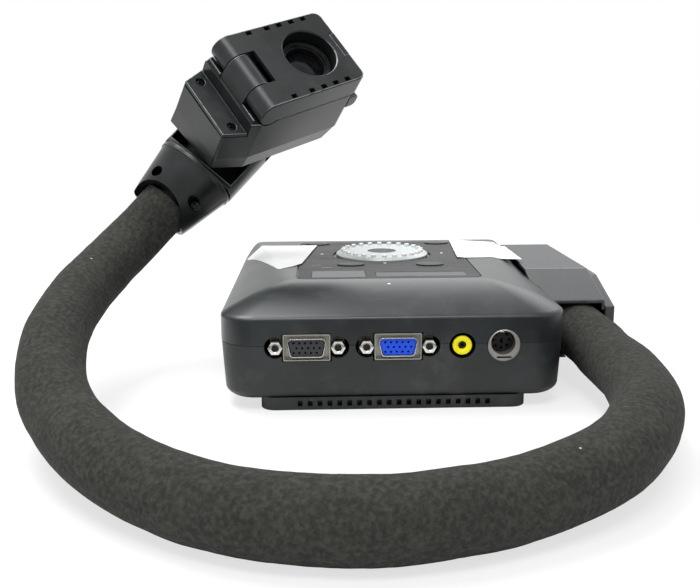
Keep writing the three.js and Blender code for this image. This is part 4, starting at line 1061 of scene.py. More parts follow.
def upper_shell(settings):
    s, p, d = settings.casing, settings.panel, settings.dial
    outer = edged(s, upper_rings(s, 0, 0, s.parting_z), 0, 1)
    inner = upper_rings(s, s.wall, s.wall, s.parting_z)
    shell = walled(outer, inner)
    low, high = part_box("control_panel")
    grow = p.groove
    pocket = flared("z", lambda more: plan(low, high, p.radius, grow + more), low.z - s.parting_gap,
        s.top_z, s.edge / 2)
    through_low = s.top_z - s.wall - PAST
    dial = middle("dial_ring")
    holes = [prism("z", circle(dial.x, dial.y, d.mouth_radius + s.wall), through_low, s.top_z)]
    for name in key_names():
        key = middle(name)
        outline = ellipse(key.x, key.y, p.key_half_width + grow, p.key_half_depth + grow)
        holes.append(prism("z", outline, through_low, s.top_z))
    carve(shell, pocket)
    carve(shell, gathered(holes))
    carve(shell, *socket_cuts(settings))
    dress(shell, "casing_top", "base", "casing", ["upper_shell"])


def lower_shell(settings):
    s, p = settings.casing, settings.plinth
    top_z = s.parting_z - s.parting_gap
    outer = edged(s, lower_rings(s, 0, s.underside_z, top_z), s.skirt_step, -1)
    inner = lower_rings(s, s.wall, s.underside_z + s.wall, top_z)
    shell = walled(outer, inner)
    x = s.half_width - p.side_inset
    low_y = front_y(s) + p.front_inset
    high_y = s.half_depth - p.back_inset
    plinth = prism("z", box_outline(-x, x, low_y, high_y, p.radius), 0, s.underside_z + s.wall / 2)
    soften(plinth, s.edge * 2, 3, where=lambda place: place.z < s.edge)
    fuse(shell, plinth)
    first = -(p.slots - 1) * p.slot_pitch / 2
    slots = []
    for i in range(p.slots):
        slot_x = first + i * p.slot_pitch
        outline = box_outline(slot_x - p.slot_width / 2, slot_x + p.slot_width / 2, p.slot_low, p.slot_high,
            s.edge)
        slots.append(prism("y", outline, low_y - PAST, low_y + p.slot_depth))
    wells = []
    for i in range(1, 5):
        pad = middle(f"foot_pad_{i}")
        low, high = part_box(f"foot_pad_{i}")
        radius = (high.x - low.x) / 2 + s.parting_gap
        wells.append(prism("z", circle(pad.x, pad.y, radius), -PAST, high.z + s.parting_gap))
    for side in (-1, 1):
        for y in (low_y + p.screw_inset * 2, high_y - p.screw_inset * 2):
            place = (side * (x - p.screw_inset), y)
            wells.append(prism("z", circle(*place, p.screw_radius), -PAST, s.underside_z))
    carve(shell, gathered(slots))
    carve(shell, gathered(wells))
    carve(shell, *socket_cuts(settings))
    dress(shell, "casing_bottom", "base", "casing_lower", ["lower_shell"])


class DOCCAM_OT_casing(Operator):
    """Build the two shells of the base, with the openings for sockets, keys and dial"""

    bl_idname = "doccam.casing"
    bl_label = "Casing"

    def execute(self, context):
        return built(context, upper_shell, lower_shell)


def key_cutter(p, key, low_z, high_z):
    return flared("z", lambda grow: ellipse(key.x, key.y, p.key_half_width + p.key_gap + grow,
        p.key_half_depth + p.key_gap + grow), low_z, high_z, p.edge)


def panel_plates(settings):
    p = settings.panel
    for node, name, finish in (("window_plate", "panel_window", "window"),
        ("name_plate", "bare_plate", "plate")):
        low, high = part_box(node)
        plate = prism("z", plan(low, high, p.plate_radius), low.z, high.z)
        soften(plate, p.edge * 0.6, 2)
        dress(plate, name, "base", finish, [node])


def lamps_and_dashes(settings, top_z):
    p = settings.panel
    ground = ground_of(("casing_top", "panel_inlay"))
    lamps = []
    for place in LAMP_PLACES:
        spot = dropped(ground, Vector(place) * MM)
        r = p.lamp_radius
        profile = [(0, -r), (r, -r), (r, 0)]
        profile += [(r * cos(a), r * 0.25 * sin(a)) for a in (0.4, 0.8, 1.2)]
        profile.append((0, r * 0.25))
        lamp = turned(profile, 20)
        lamps.append(placed(lamp, Matrix.Translation(spot)))
    dress(gathered(lamps), "indicator_lamps", "base", "lamp")
    dashes = []
    for place in DASH_PLACES:
        x, y, length = Vector(place) * MM
        half = p.mark_width / 2
        outline = box_outline(x - length / 2, x + length / 2, y - half, y + half, half * 0.8)
        dashes.append(prism("z", outline, top_z - p.mark_height, top_z + p.mark_height))
    dress(gathered(dashes), "printed_dashes", "base", "print")


def make_panel(settings):
    s, p, d = settings.casing, settings.panel, settings.dial
    low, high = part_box("control_panel")
    panel = prism("z", plan(low, high, p.radius), low.z, high.z)
    soften(panel, p.edge, 3)
    dial = middle("dial_ring")
    cutters = [flared("z", lambda grow: circle(dial.x, dial.y, d.radius + d.well_gap + grow, 96), low.z
        - PAST, high.z, p.edge)]
    for name in key_names():
        cutters.append(key_cutter(p, middle(name), low.z - PAST, high.z))
    for name in ("window_plate", "name_plate"):
        plate_low, plate_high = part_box(name)
        cutters.append(flared("z", lambda grow, a=plate_low, b=plate_high: box_outline(a.x
            - s.parting_gap - grow, b.x + s.parting_gap + grow, a.y - s.parting_gap - grow, b.y
            + s.parting_gap + grow, p.plate_radius + grow), low.z - PAST, high.z, p.edge))
    carve(panel, *cutters)
    dress(panel, "panel_inlay", "base", "panel", ["control_panel"])
    panel_plates(settings)
    lamps_and_dashes(settings, high.z)


class DOCCAM_OT_panel(Operator):
    """Build the inlaid control panel, its window and bare plate, lamps and printed dashes"""

    bl_idname = "doccam.panel"
    bl_label = "Control panel"

    def execute(self, context):
        return built(context, make_panel)


def dial_button(d, place):
    low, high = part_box("dial_button")
    high.z -= d.button_sink
    r = d.button_radius
    crown = d.stud_height
    profile = [(0, low.z), (r, low.z), (r, high.z - crown)]
    profile += arc(r - crown, high.z - crown, crown, 0, pi / 3, 5)[1:]
    profile += [(r * part, high.z - crown * 0.35 * part**2) for part in (0.75, 0.5, 0.25)]
    profile.append((0, high.z))
    button = placed(turned(profile, 72), Matrix.Translation((place.x, place.y, 0)))
    dress(button, "dial_middle", "dial_key", "key", ["dial_button"], 50)


def make_dial(settings):
    d = settings.dial
    place = middle("dial_ring")
    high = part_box("dial_ring")[1]
    top = high.z - d.stud_height
    rim = top - d.rim_drop
    panel_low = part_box("control_panel")[0].z
    soft = d.stud_height / 2
    profile = [(d.mouth_radius, panel_low), (d.radius - soft, panel_low), (d.radius, panel_low + soft),
        (d.radius, rim - soft)]
    profile += arc(d.radius - soft, rim - soft, soft, 0, pi / 3, 4)[1:]
    profile += [(d.face_radius + soft, top - soft / 4), (d.face_radius, top)]
    groove = d.groove_radius
    depth = soft
    profile += [(groove + depth, top), (groove + depth / 2, top - depth / 2),
        (groove - depth / 2, top - depth / 2), (groove - depth, top)]
    profile += [(d.mouth_radius + soft, top)]
    profile += arc(d.mouth_radius + soft, top - soft, soft, pi / 2, pi, 4)[1:]
    ring = turned(profile, 120)
    placed(ring, Matrix.Translation((place.x, place.y, 0)))
    dress(ring, "dial_face", "dial", "dial", ["dial_ring"], 50)
    studs = []
    for i in range(d.studs):
        angle = i / d.studs * tau
        r = d.stud_radius
        stud_top = top + d.stud_stand
        stud_profile = [(0, top - soft), (r, top - soft), (r, stud_top - soft)]
        stud_profile += arc(r - soft, stud_top - soft, soft, 0, pi / 2, 4)[1:]
        stud_profile.append((0, stud_top))
        stud = turned(stud_profile, 20)
        x = place.x + d.stud_circle * cos(angle)
        y = place.y + d.stud_circle * sin(angle)
        studs.append(placed(stud, Matrix.Translation((x, y, 0))))
    dress(gathered(studs), "dial_studs", "dial", "stud")
    dial_button(d, place)


class DOCCAM_OT_dial(Operator):
    """Build the silver dial with its ring of studs, and the button in its middle"""

    bl_idname = "doccam.dial"
    bl_label = "Dial"

    def execute(self, context):
        return built(context, make_dial)


def key_ring(p, key, grow, z):
    half_u, half_v = p.key_half_width * grow, p.key_half_depth * grow
    return [(u, v, z) for u, v in ellipse(key.x, key.y, half_u, half_v, 40)]


def make_keys(settings):
    p = settings.panel
    bodies = {"front_left_key": "key_front_left", "front_right_key": "key_front_right",
        "back_right_key": "key_back_right", "back_left_key": "key_back_left"}
    for node in key_names():
        low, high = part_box(node)
        key = middle(node)
        rings = [key_ring(p, key, 1, low.z)]
        drop = p.key_crown
        for part in (0, 0.25, 0.5, 0.75, 0.9, 1):
            shrink = 1 - part * 0.75
            rings.append(key_ring(p, key, shrink, high.z - drop * (1 - part) ** 2))
        cap = loft(rings)
        dress(cap, f"{node}_cap", bodies[node], "key", [node], 60)


class DOCCAM_OT_keys(Operator):
    """Build the four oval keys"""

    bl_idname = "doccam.keys"
    bl_label = "Keys"

    def execute(self, context):
        return built(context, make_keys)


def display_shell(d, name, place):
    x, z = place.x, place.z
    low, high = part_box(f"{name}_shell")
    back_y = high.y
    frame_y = back_y - d.frame_thickness
    outer = [(back_y, d.flare), (frame_y, d.flare), (frame_y - d.flare * 0.25, d.flare * 0.45),
        (frame_y - d.flare * 0.7, d.flare * 0.15), (frame_y - d.flare * 1.2, 0), (low.y + d.skin / 2, 0),
        (low.y, -d.skin / 3)]
    inner = [(low.y, -d.skin * 0.7), (low.y + d.skin / 2, -d.skin), (back_y, -d.skin)]
    rings = [[(u, y, v) for u, v in display_outline(d, x, z, grow)] for y, grow in outer + inner]
    around = len(rings[0])
    faces = side_faces(len(rings), around)
    last = (len(rings) - 1) * around
    faces += [(last + i, last + (i + 1) % around, (i + 1) % around, i) for i in range(around)]
    tube = solid_from([p for ring in rings for p in ring], faces)
    dress(tube, f"{name}_rim", "base", "nickel")
    half_x, half_z = d.frame_width / 2, d.frame_height / 2
    frame_outline = box_outline(x - half_x, x + half_x, z - half_z, z + half_z, d.skin * 2)
    plate = prism("y", frame_outline, frame_y + d.skin / 3, back_y)
    soften(plate, d.skin / 4, 2)
    opening = prism("y", display_outline(d, x, z, 0), frame_y - PAST, back_y + PAST)
    carve(plate, opening)
    fuse(plate, display_tray(d, x, z, low.y, frame_y + d.skin))
    dress(plate, f"{name}_frame", "base", "dull_steel", [f"{name}_shell"])


def display_tray(d, x, z, low_y, high_y):
    """Metal tray round the shell, with a raised rim."""
    half_x, half_z = d.bezel_width / 2, d.bezel_height / 2
    rim_y = low_y + d.flare
    outline = box_outline(x - half_x, x + half_x, z - half_z, z + half_z, d.skin)
    tray = prism("y", outline, rim_y, high_y)
    soften(tray, d.skin / 4, 2, where=lambda place: place.y < rim_y + d.skin / 8)
    inside = box_outline(x - half_x + d.bezel_wall, x + half_x - d.bezel_wall, z - half_z + d.bezel_wall, z
        + half_z - d.bezel_wall, d.skin / 2)
    hollow = prism("y", inside, rim_y - PAST, rim_y + d.bezel_stand)
    shell = prism("y", display_outline(d, x, z, 0), rim_y - PAST, high_y + PAST)
    return carve(tray, hollow, shell)


def display_insert(d, name, place):
    x, z = place.x, place.z
    low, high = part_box(f"{name}_insert")
    block = prism("y", display_outline(d, x, z, -d.skin * 1.2), low.y, high.y)
    soften(block, d.skin / 3, 2)
    pins = []
    for row in (-1, 0, 1):
        for column in (-2, -1, 0, 1, 2):
            shift = d.pin_pitch / 4 if row == 0 else -d.pin_pitch / 4
            pin_x = x + column * d.pin_pitch + shift
            outline = circle(pin_x, z + row * d.row_pitch, d.pin_radius, 16)
            pins.append(prism("y", outline, low.y - PAST, low.y + PAST))
    carve(block, gathered(pins))
    finish = "blue" if name == "display_in" else "grey"
    dress(block, f"{name}_block", "base", finish, [f"{name}_insert"])


def display_standoff(d, node):
    low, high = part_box(node)
    place = (low + high) / 2
    across = d.standoff_width / sqrt(3)
    chamfer = across * 0.12
    hexagon = [(across * cos(i * pi / 3), across * sin(i * pi / 3)) for i in range(6)]
    body = prism("z", hexagon, low.y, high.y)
    cone = turned([(0, low.y), (across - chamfer * 2, low.y), (across + chamfer, low.y + chamfer * 1.5),
        (across + chamfer, high.y), (0, high.y)])
    nut = common(body, cone)
    bore = d.standoff_bore
    lip = d.skin / 2
    bore_profile = [(0, low.y - PAST), (bore + lip, low.y - PAST), (bore + lip, low.y),
        (bore, low.y + lip), (bore, high.y - lip), (0, high.y - lip)]
    carve(nut, turned(bore_profile, 32))
    facing_front(nut, place.x, place.z)
    dress(nut, f"{node}_nut", "base", "nickel", [node])
    # A black filler deep in the bore stands in for the shade inside the hole: painted shade
    shade_plug = cylinder("y", place.x, place.z, bore * 1.05, low.y + lip * 2.5, high.y, 32)
    soften(shade_plug, lip / 2, 2)
    dress(shade_plug, f"{node}_bore", "base", "black")


def make_display_sockets(settings):
    for name, place in display_places():
        display_shell(settings.display, name, place)
        display_insert(settings.display, name, place)
        for i in (1, 2):
            display_standoff(settings.display, f"{name}_standoff_{i}")


class DOCCAM_OT_display_sockets(Operator):
    """Build the two display sockets with their shells, inserts, frames and standoffs"""

    bl_idname = "doccam.display_sockets"
    bl_label = "Display sockets"

    def execute(self, context):
        return built(context, make_display_sockets)


def facing_front(solid, x, z):
    """Turns a solid made about Z to point its lower end out of the front face."""
    upright = Matrix(((1, 0, 0), (0, 0, 1), (0, -1, 0))).to_4x4()
    return placed(solid, Matrix.Translation((x, 0, z)) @ upright)


def video_jack(settings):
    j = settings.jack
    low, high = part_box("video_jack_ring")
    x, z = (low.x + high.x) / 2, (low.z + high.z) / 2
    soft = (j.ring_radius - j.ring_bore) * 0.3
    slope = (j.ring_radius - j.ring_bore) * 0.38
    ring_profile = [(j.ring_bore, high.y), (j.ring_bore, low.y + slope)]
    ring_profile.append((j.ring_bore + slope, low.y + soft / 4))
    ring_profile += arc(j.ring_radius - soft, low.y + soft, soft, pi * 1.5, tau, 4)
    ring_profile.append((j.ring_radius, high.y))
    ring = facing_front(turned(ring_profile, 64), x, z)
    dress(ring, "video_ring", "base", "yellow", ["video_jack_ring"])
    barrel_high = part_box("video_jack_barrel")[1]
    contact = j.ring_bore * 0.42
    outer = j.ring_radius - soft / 2
    barrel_profile = [(contact, high.y + j.ring_depth * 2), (contact, high.y - j.ring_depth / 3),
        (j.ring_bore * 0.8, high.y - j.ring_depth / 3), (j.ring_bore * 0.95, high.y),
        (outer, high.y + soft / 4), (outer, barrel_high.y), (0, barrel_high.y),
        (0, high.y + j.ring_depth * 2)]
    barrel = facing_front(turned(barrel_profile, 48), x, z)
    dress(barrel, "video_barrel", "base", "black", ["video_jack_barrel"])


def round_socket(settings):
    j = settings.jack
    low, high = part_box("serial_jack_shell")
    x, z = (low.x + high.x) / 2, middle("serial_jack_insert").z
    r, bore = j.serial_radius, j.serial_radius - j.serial_wall
    soft = j.serial_wall / 4
    profile = [(0, high.y), (r, high.y), (r, low.y + soft), (r - soft, low.y), (0, low.y)]
    tube = facing_front(turned(profile, 72), x, z)
    slot_z = z - r + j.serial_slot
    slot = box(x - bore * 0.6, x + bore * 0.6, low.y - PAST, low.y + r, slot_z - soft * 1.8, slot_z)
    x, z = x - j.serial_shift, z + j.serial_rise
    carve(tube, cylinder("y", x, z, bore, low.y - PAST, high.y + PAST, 72), slot)
    dress(tube, "serial_tube", "base", "dull_steel", ["serial_jack_shell"])
    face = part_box("serial_jack_insert")[0].y
    block = prism("y", circle(x, z, bore - soft / 2, 64), face, high.y)
    holes = []
    for i in range(j.serial_pins):
        angle = (i + 1) / (j.serial_pins + 1) * tau + pi / 2
        pin_x = x + j.serial_circle * cos(angle)
        pin_z = z + j.serial_circle * sin(angle)
        outline = circle(pin_x, pin_z, j.serial_pin, 16)
        holes.append(prism("y", outline, face - PAST, face + PAST))
    half = j.serial_pin
    holes.append(box(x - half, x + half, face - PAST, face + PAST, z - half * 2, z + half))
    carve(block, gathered(holes))
    dress(block, "serial_block", "base", "black", ["serial_jack_insert"])
    key = box(x - half * 1.4, x + half * 1.4, face - j.serial_wall, high.y, z + bore * 0.72, z + bore)
    soften(key, half / 3, 2)
    dress(key, "serial_key", "base", "nickel")


class DOCCAM_OT_round_sockets(Operator):
    """Build the video jack and the round socket beside it"""

    bl_idname = "doccam.round_sockets"
    bl_label = "Round sockets"

    def execute(self, context):
        return built(context, video_jack, round_socket)


def cover_profile(settings, drop, inset, open_front):
    c = settings.cover
    back_y = settings.casing.half_depth - c.back_inset
    start = c.front_y - PAST if open_front else c.front_y + inset
    slope = (c.crease_z - c.front_z) / (c.crease_y - c.front_y)
    front_z = c.front_z + slope * (start - c.front_y) - drop - inset
    low = c.low_z + inset
    return [(start, low), (back_y - inset, low), (back_y - inset, c.back_z - drop - inset),
        (c.crease_y, c.crease_z - drop - inset), (start, front_z)]


def cover_plan(settings, low, high):
    """Region between two sides that both draw in behind the crease."""
    c, s = settings.cover, settings.casing
    front, back = -s.half_depth, s.half_depth
    outline = [(low, front), (high, front), (high, c.crease_y)]
    outline += [(high - c.taper, back), (low - c.taper, back), (low, c.crease_y)]
    return prism("z", outline, 0, c.back_z * 2)


def make_cover(settings):
    s, c, n = settings.casing, settings.cover, settings.neck
    left, right = s.half_width - c.overlap, s.half_width + c.reach
    cap_right = s.half_width + c.cap_reach
    gap = s.parting_gap
    body = prism("x", cover_profile(settings, 0, 0, False), left, right)
    common(body, cover_plan(settings, left, right))
    soften(body, c.edge, 3, radians(12))
    side = loft(list(reversed(upper_rings(s, -gap, -gap, s.parting_z - PAST))))
    lower = loft(lower_rings(s, -gap, s.underside_z - gap, s.parting_z))
    route = Route(settings)
    start = n.into_clamp - PAST
    passage = route.tube(start, route.bend_middle(0), n.radius + c.edge, 48)
    hollow = prism("x", cover_profile(settings, 0, c.wall, True), left - PAST, right)
    carve(body, common(hollow, cover_plan(settings, left - PAST, right - c.wall)), prism("x",
        cover_profile(settings, c.cap_drop, c.wall, True), left - PAST, right + PAST), side,
        lower, passage)
    dress(body, "cover_body", "base", "cover", ["neck_cover"], 28)
    low = right + gap
    cap = prism("x", cover_profile(settings, c.cap_drop, 0, False), low - c.taper, cap_right)
    common(cap, cover_plan(settings, low, cap_right))
    soften(cap, c.edge, 3, radians(12))
    passage = route.tube(start, route.bend_middle(0), n.radius + c.edge, 48)
    inner = prism("x", cover_profile(settings, c.cap_drop, c.wall, False), right - PAST - c.taper,
        cap_right)
    common(inner, cover_plan(settings, right - PAST, cap_right - c.wall))
    carve(cap, inner, passage)
    dress(cap, "cover_cap", "base", "cover", ["neck_cover_cap"], 28)


class DOCCAM_OT_cover(Operator):
    """Build the cover over the neck's root and its end cap"""

    bl_idname = "doccam.cover"
    bl_label = "Neck cover"

    def execute(self, context):
        return built(context, make_cover)


# Neck


class Route:
    """The line that the neck follows, measured by the length along it."""

    def __init__(self, settings):
        n = settings.neck
        self.neck = n
        root_x = settings.casing.half_width + n.root_stand
        knots = [Vector((root_x + x * n.reach, n.root_y + y * n.reach, n.radius + z * n.reach)) for x, y,
            z in ROUTE_SHARES]
        self.points = self.smooth(knots)
        self.lengths = [0.0]
        for here, ahead in zip(self.points, self.points[1:]):
            self.lengths.append(self.lengths[-1] + (ahead - here).length)
        self.length = self.lengths[-1]

    @staticmethod
    def smooth(knots, steps=60):
        """Centripetal Catmull-Rom curve through the knots."""
        ends = [2 * knots[0] - knots[1]] + knots + [2 * knots[-1] - knots[-2]]
        points = []
        for a, b, c, d in zip(ends, ends[1:], ends[2:], ends[3:]):
            before = sqrt((b - a).length)
            here = sqrt((c - b).length)
            after = sqrt((d - c).length)
            leave = ((b - a) / before - (c - a) / (before + here) + (c - b) / here) * here
            reach = ((c - b) / here - (d - b) / (here + after) + (d - c) / after) * here
            for i in range(steps):
                t = i / steps
                points.append(b + leave * t + (3 * (c - b) - 2 * leave - reach) * t**2
                    + (leave + reach - 2 * (c - b)) * t**3)
        points.append(knots[-1])
        return points

    def place(self, along):
        low, high = 0, len(self.lengths) - 1
        while high - low > 1:
            middle_index = (low + high) // 2
            if self.lengths[middle_index] <= along:
                low = middle_index
            else:
                high = middle_index
        part = (along - self.lengths[low]) / (self.lengths[high] - self.lengths[low])
        return self.points[low].lerp(self.points[high], part)

    def direction(self, along):
        step = MM
        low, high = max(0, along - step), min(self.length, along + step)
        return (self.place(high) - self.place(low)).normalized()

    def bend_middle(self, index):
        return BEND_SHARES[index] * self.length

    def sag(self, along):
        """How far the foam hangs under the line, which is only near the cover."""
        total = 0
        for place, reach, depth in SAGS:
            away = min(abs(along / MM - place) / reach, 1)
            total += depth * cos(pi / 2 * away) ** 2
        return total * MM

    def rings(self, start, end, step, radius_at, sides, sagging=False):
        """Rings round the line. Their zero direction lies level, so neighbouring pieces meet."""
        steps = max(1, round((end - start) / step))
        rings = []
        for i in range(steps + 1):
            along = start + (end - start) * i / steps
            centre = self.place(along)
            if sagging:
                centre = centre - Vector((0, 0, self.sag(along)))
            ahead = self.direction(along)
            level = Vector((-ahead.y, ahead.x, 0)).normalized()
            up = ahead.cross(level)
            ring = []
            for j in range(sides):
                angle = j / sides * tau
                spoke = level * cos(angle) + up * sin(angle)
                ring.append(centre + spoke * radius_at(centre + spoke * self.neck.radius))
            rings.append(ring)
        return rings

    def tube(self, start, end, radius, sides):
        step = self.neck.step * 2
        return loft(self.rings(start, end, step, lambda place: radius, sides, True))


def foam_stretch(n, route, start, end, name):
    def radius_at(place):
        slow = noise.noise(place / n.swell_size) * n.swell
        quick = noise.noise(place / n.pock_size) * n.pock
        return n.radius + slow + quick - n.pock

    outer = route.rings(start, end, n.step, radius_at, n.sides, True)
    bore = route.rings(start, end, n.step * 3, lambda place: n.bore, n.sides)
    return dress(walled(outer, bore, True), name, None, "foam", (), 60)


def blend_foam(n, route, piece, start, end, number):
    """Bakes the stretch's place into its mesh; the stretch is not tied to a body."""
    first, last = route.place(start), route.place(end)
    chord = (last - first).normalized()
    lean_first = n.radius * sin(chord.angle(route.direction(start)))
    lean_last = n.radius * sin(chord.angle(route.direction(end)))
    SLEEVE_BODIES[number - 1]
    first + chord * lean_first
    last - chord * lean_last
    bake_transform(piece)


def make_foam(settings):
    n = settings.neck
    route = Route(settings)
    ends = [n.into_clamp]
    for i in range(len(BEND_SHARES)):
        ends += [route.bend_middle(i) - n.bend_length / 2, route.bend_middle(i) + n.bend_length / 2]
    ends.append(route.length - n.into_yoke)
    for i, (start, end) in enumerate(zip(ends, ends[1:])):
        number = i // 2 + 1
        if i % 2 == 0:
            piece = foam_stretch(n, route, start, end, f"foam_sleeve_{number}")
            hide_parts(f"neck_sleeve_{number}")
            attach(piece, SLEEVE_BODIES[number - 1])
        else:
            piece = foam_stretch(n, route, start, end, f"foam_bend_{number}")
            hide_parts(f"neck_bend_{number}")
            blend_foam(n, route, piece, start, end, number)


class DOCCAM_OT_foam(Operator):
    """Build the foam sleeve of the neck in four stiff and three bending stretches"""

    bl_idname = "doccam.foam"
    bl_label = "Foam sleeve"

    def execute(self, context):
        return built(context, make_foam)


# Collar, yoke and turret, at the neck's end


def pivot(name):
    """Place and direction of a joint's axis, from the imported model."""
    joint = next(joint for joint in frame["joints"] if joint["name"] == name)
    return Vector(joint["pos_m"]), Vector(joint["axis"]).normalized()


def frame_at(origin, x_axis, z_axis):
    y_axis = z_axis.cross(x_axis)
    turned_to = Matrix((x_axis, y_axis, z_axis)).transposed().to_4x4()
    return Matrix.Translation(origin) @ turned_to


def yoke_frame(settings):
    """Origin at the foam's end, Z along the neck and X along the tilt pin."""
    y = settings.yoke
    centre, pin = pivot("head_tilt")
    along = (Matrix.Rotation(-y.tilt, 3, pin) @ pivot("head_swivel")[1]).normalized()
    return frame_at(centre - along * y.pivot_z, pin, along)


def turret_frame():
    """Origin at the tilt pin, Z along the swivel and X along the tilt pin."""
    return frame_at(*pivot("head_tilt"), pivot("head_swivel")[1])


def head_frame(settings):
    """Origin in the lens opening on the lid's face, Z out of the face and X to the nose."""
    lid = settings.lid
    face = pivot("head_swivel")[1]
    hinge, across = pivot("lid_hinge")
    nose = (-across).cross(face)
    return frame_at(hinge - nose * lid.hinge_x - face * lid.hinge_z, nose, face)


def cylinder(axis, u, v, radius, low, high, sides=CIRCLE_SIDES, edge=0.0):
    """Round bar along an axis, with its rims rounded."""
    bar = prism(axis, circle(u, v, radius, sides), low, high)
    if edge:
        soften(bar, edge, 3)
    return bar


def cross_screw(radius, height, shank_radius, shank):
    """Screw about Z with a domed head at the origin's height and a cross recess in it."""
    soft = height * 0.45
    profile = [(0, -shank), (shank_radius, -shank), (shank_radius, -height), (radius, -height)]
    profile += [(radius, -soft)]
    profile += arc(radius - soft, -soft, soft, 0, pi / 2, 4)[1:]
    profile.append((0, 0))
    screw = turned(profile, 36)
    reach, half = radius * 0.6, radius * 0.13
    depth = height * 0.6
    arms = [box(-reach, reach, -half, half, -depth, depth), box(-half, half, -reach, reach, -depth, depth)]
    return carve(screw, *arms)


def collar_body(c, n):
    bore = n.radius + c.bore_gap
    soft = c.half_gap * 3
    low, high = -c.over_sleeve, c.length
    ring_low = high - c.ring_length
    slope = (c.head_radius - c.neck_radius) / (ring_low - low)
    profile = [(bore, low + soft)]
    profile += arc(bore + soft, low + soft, soft, pi, pi * 1.5, 4)[1:]
    profile += arc(c.neck_radius - soft, low + soft, soft, pi * 1.5, tau, 5)[1:]
    steps = 6
    for i in range(1, steps):
        z = low + soft + (ring_low - low - soft) * i / steps
        profile.append((c.neck_radius + slope * (z - low), z))
    crisp = c.half_gap
    profile += [(c.head_radius, ring_low - crisp), (c.head_radius + crisp / 2, ring_low),
        (c.ring_radius - crisp, ring_low), (c.ring_radius, ring_low + crisp), (c.ring_radius, high - soft)]
    profile += arc(c.ring_radius - soft, high - soft, soft, 0, pi / 2, 4)[1:]
    profile += [(c.stem_radius + c.half_gap, high), (c.stem_radius + c.half_gap, c.half_gap),
        (bore, c.half_gap)]
    return turned(profile, 96)


def make_collar(settings):
    c, n = settings.collar, settings.neck
    where = yoke_frame(settings) @ Matrix.Rotation(c.turned, 4, "Z")
    reach = c.ring_radius + PAST
    screw_z = c.length * c.screw_share
    screw_places = (c.screw_shift - c.screw_x, c.screw_shift + c.screw_x)
    for side, node in ((-1, "collar_front"), (1, "collar_back")):
        half = collar_body(c, n)
        low_y, high_y = (-reach, -c.half_gap / 2) if side < 0 else (c.half_gap / 2, reach)
        common(half, box(-reach, reach, low_y, high_y, -reach, reach + c.length))
        if side < 0:
            arch = ellipse(0, -c.over_sleeve, c.arch_half, c.arch_rise)
            carve(half, prism("y", arch, -reach, 0))
            for x in screw_places:
                outline = circle(x, screw_z, c.screw_radius + c.half_gap, 36)
                well = prism("y", outline, -reach, c.screw_y + c.half_gap * 7)
                carve(half, well)
        placed(half, where)
        dress(half, f"{node}_half", "neck_link_3", "head", [node])
    for i, x in enumerate(screw_places):
        screw = cross_screw(c.screw_radius, c.half_gap * 6, c.screw_radius / 2, c.stem_radius)
        tip = Matrix.Translation((x, c.screw_y, screw_z)) @ Matrix.Rotation(pi / 2, 4, "X")
        placed(screw, where @ tip)
        name = f"collar_screw_{i + 1}"
        dress(screw, f"{name}_head", "neck_link_3", "dark_screw", [name])


class DOCCAM_OT_collar(Operator):
    """Build the two halves of the conical collar and their screws"""

    bl_idname = "doccam.collar"
    bl_label = "Collar"

    def execute(self, context):
        return built(context, make_collar)


def yoke_fork(settings):
    c, y = settings.collar, settings.yoke
    foot_low = c.length + y.gap
    foot_high = foot_low + y.foot
    half = y.arm_half
    arms = []
    for side in (-1, 1):
        low_x = -y.outer_x if side < 0 else y.outer_x - y.arm
        outline = [(-half, foot_low), (half, foot_low)]
        outline += arc(0, y.pivot_z, half, 0, pi, 24)
        arm = prism("x", outline, low_x, low_x + y.arm)
        arms.append(soften(arm, y.edge, 3))
    foot = box(-y.outer_x, y.outer_x, -half, half, foot_low, foot_high)
    soften(foot, y.edge, 3)
    web = box(-y.outer_x, y.outer_x, half - y.web, half, foot_low, y.web_top)
    soften(web, y.edge, 3)
    stem = prism("z", circle(0, 0, c.stem_radius), c.half_gap * 2, foot_high - y.edge)
    fuse(foot, *arms, web, stem)
    common(foot, prism("z", circle(0, 0, c.ring_radius + y.gap, 96), 0, y.pivot_z + half * 2))
    hole = cylinder("x", 0, y.pivot_z, y.pin_radius + y.pin_gap, -y.outer_x * 2, y.outer_x * 2)
    carve(foot, hole)
    placed(foot, yoke_frame(settings))
    dress(foot, "yoke_fork", "neck_link_3", "head", ["yoke"])
    bar = cylinder("x", 0, y.pivot_z, y.pin_radius, -y.pin_half, y.pin_half, 48, y.gap)
    placed(bar, yoke_frame(settings))
    dress(bar, "tilt_pin_bar", "neck_link_3", "dark_screw", ["tilt_pin"])


def tilting_turret(settings):
    y, h = settings.yoke, settings.head
    half = y.outer_x - y.arm - y.gap
    disc_top = h.bottom_z - h.pivot_z - y.gap
    disc_low = disc_top - y.disc_thickness
    barrel = cylinder("x", 0, 0, y.barrel, -half, half, 64, y.edge)
    post = prism("z", circle(0, 0, y.barrel), 0, disc_top - y.gap)
    disc = cylinder("z", 0, 0, y.disc, disc_low, disc_top, 72, y.edge)
    spindle = prism("z", circle(0, 0, y.spindle), disc_low, y.spindle_top - h.pivot_z)
    fuse(barrel, post, disc, spindle)
    carve(barrel, cylinder("x", 0, 0, y.pin_radius + y.pin_gap, -half * 2, half * 2))
    placed(barrel, turret_frame())
    dress(barrel, "tilting_turret", "swivel", "head", ["turret"])


class DOCCAM_OT_yoke(Operator):
    """Build the yoke on the neck's end and the turret that tilts in it"""

    bl_idname = "doccam.yoke"
    bl_label = "Yoke and turret"

    def execute(self, context):
        return built(context, yoke_fork, tilting_turret)


# Head


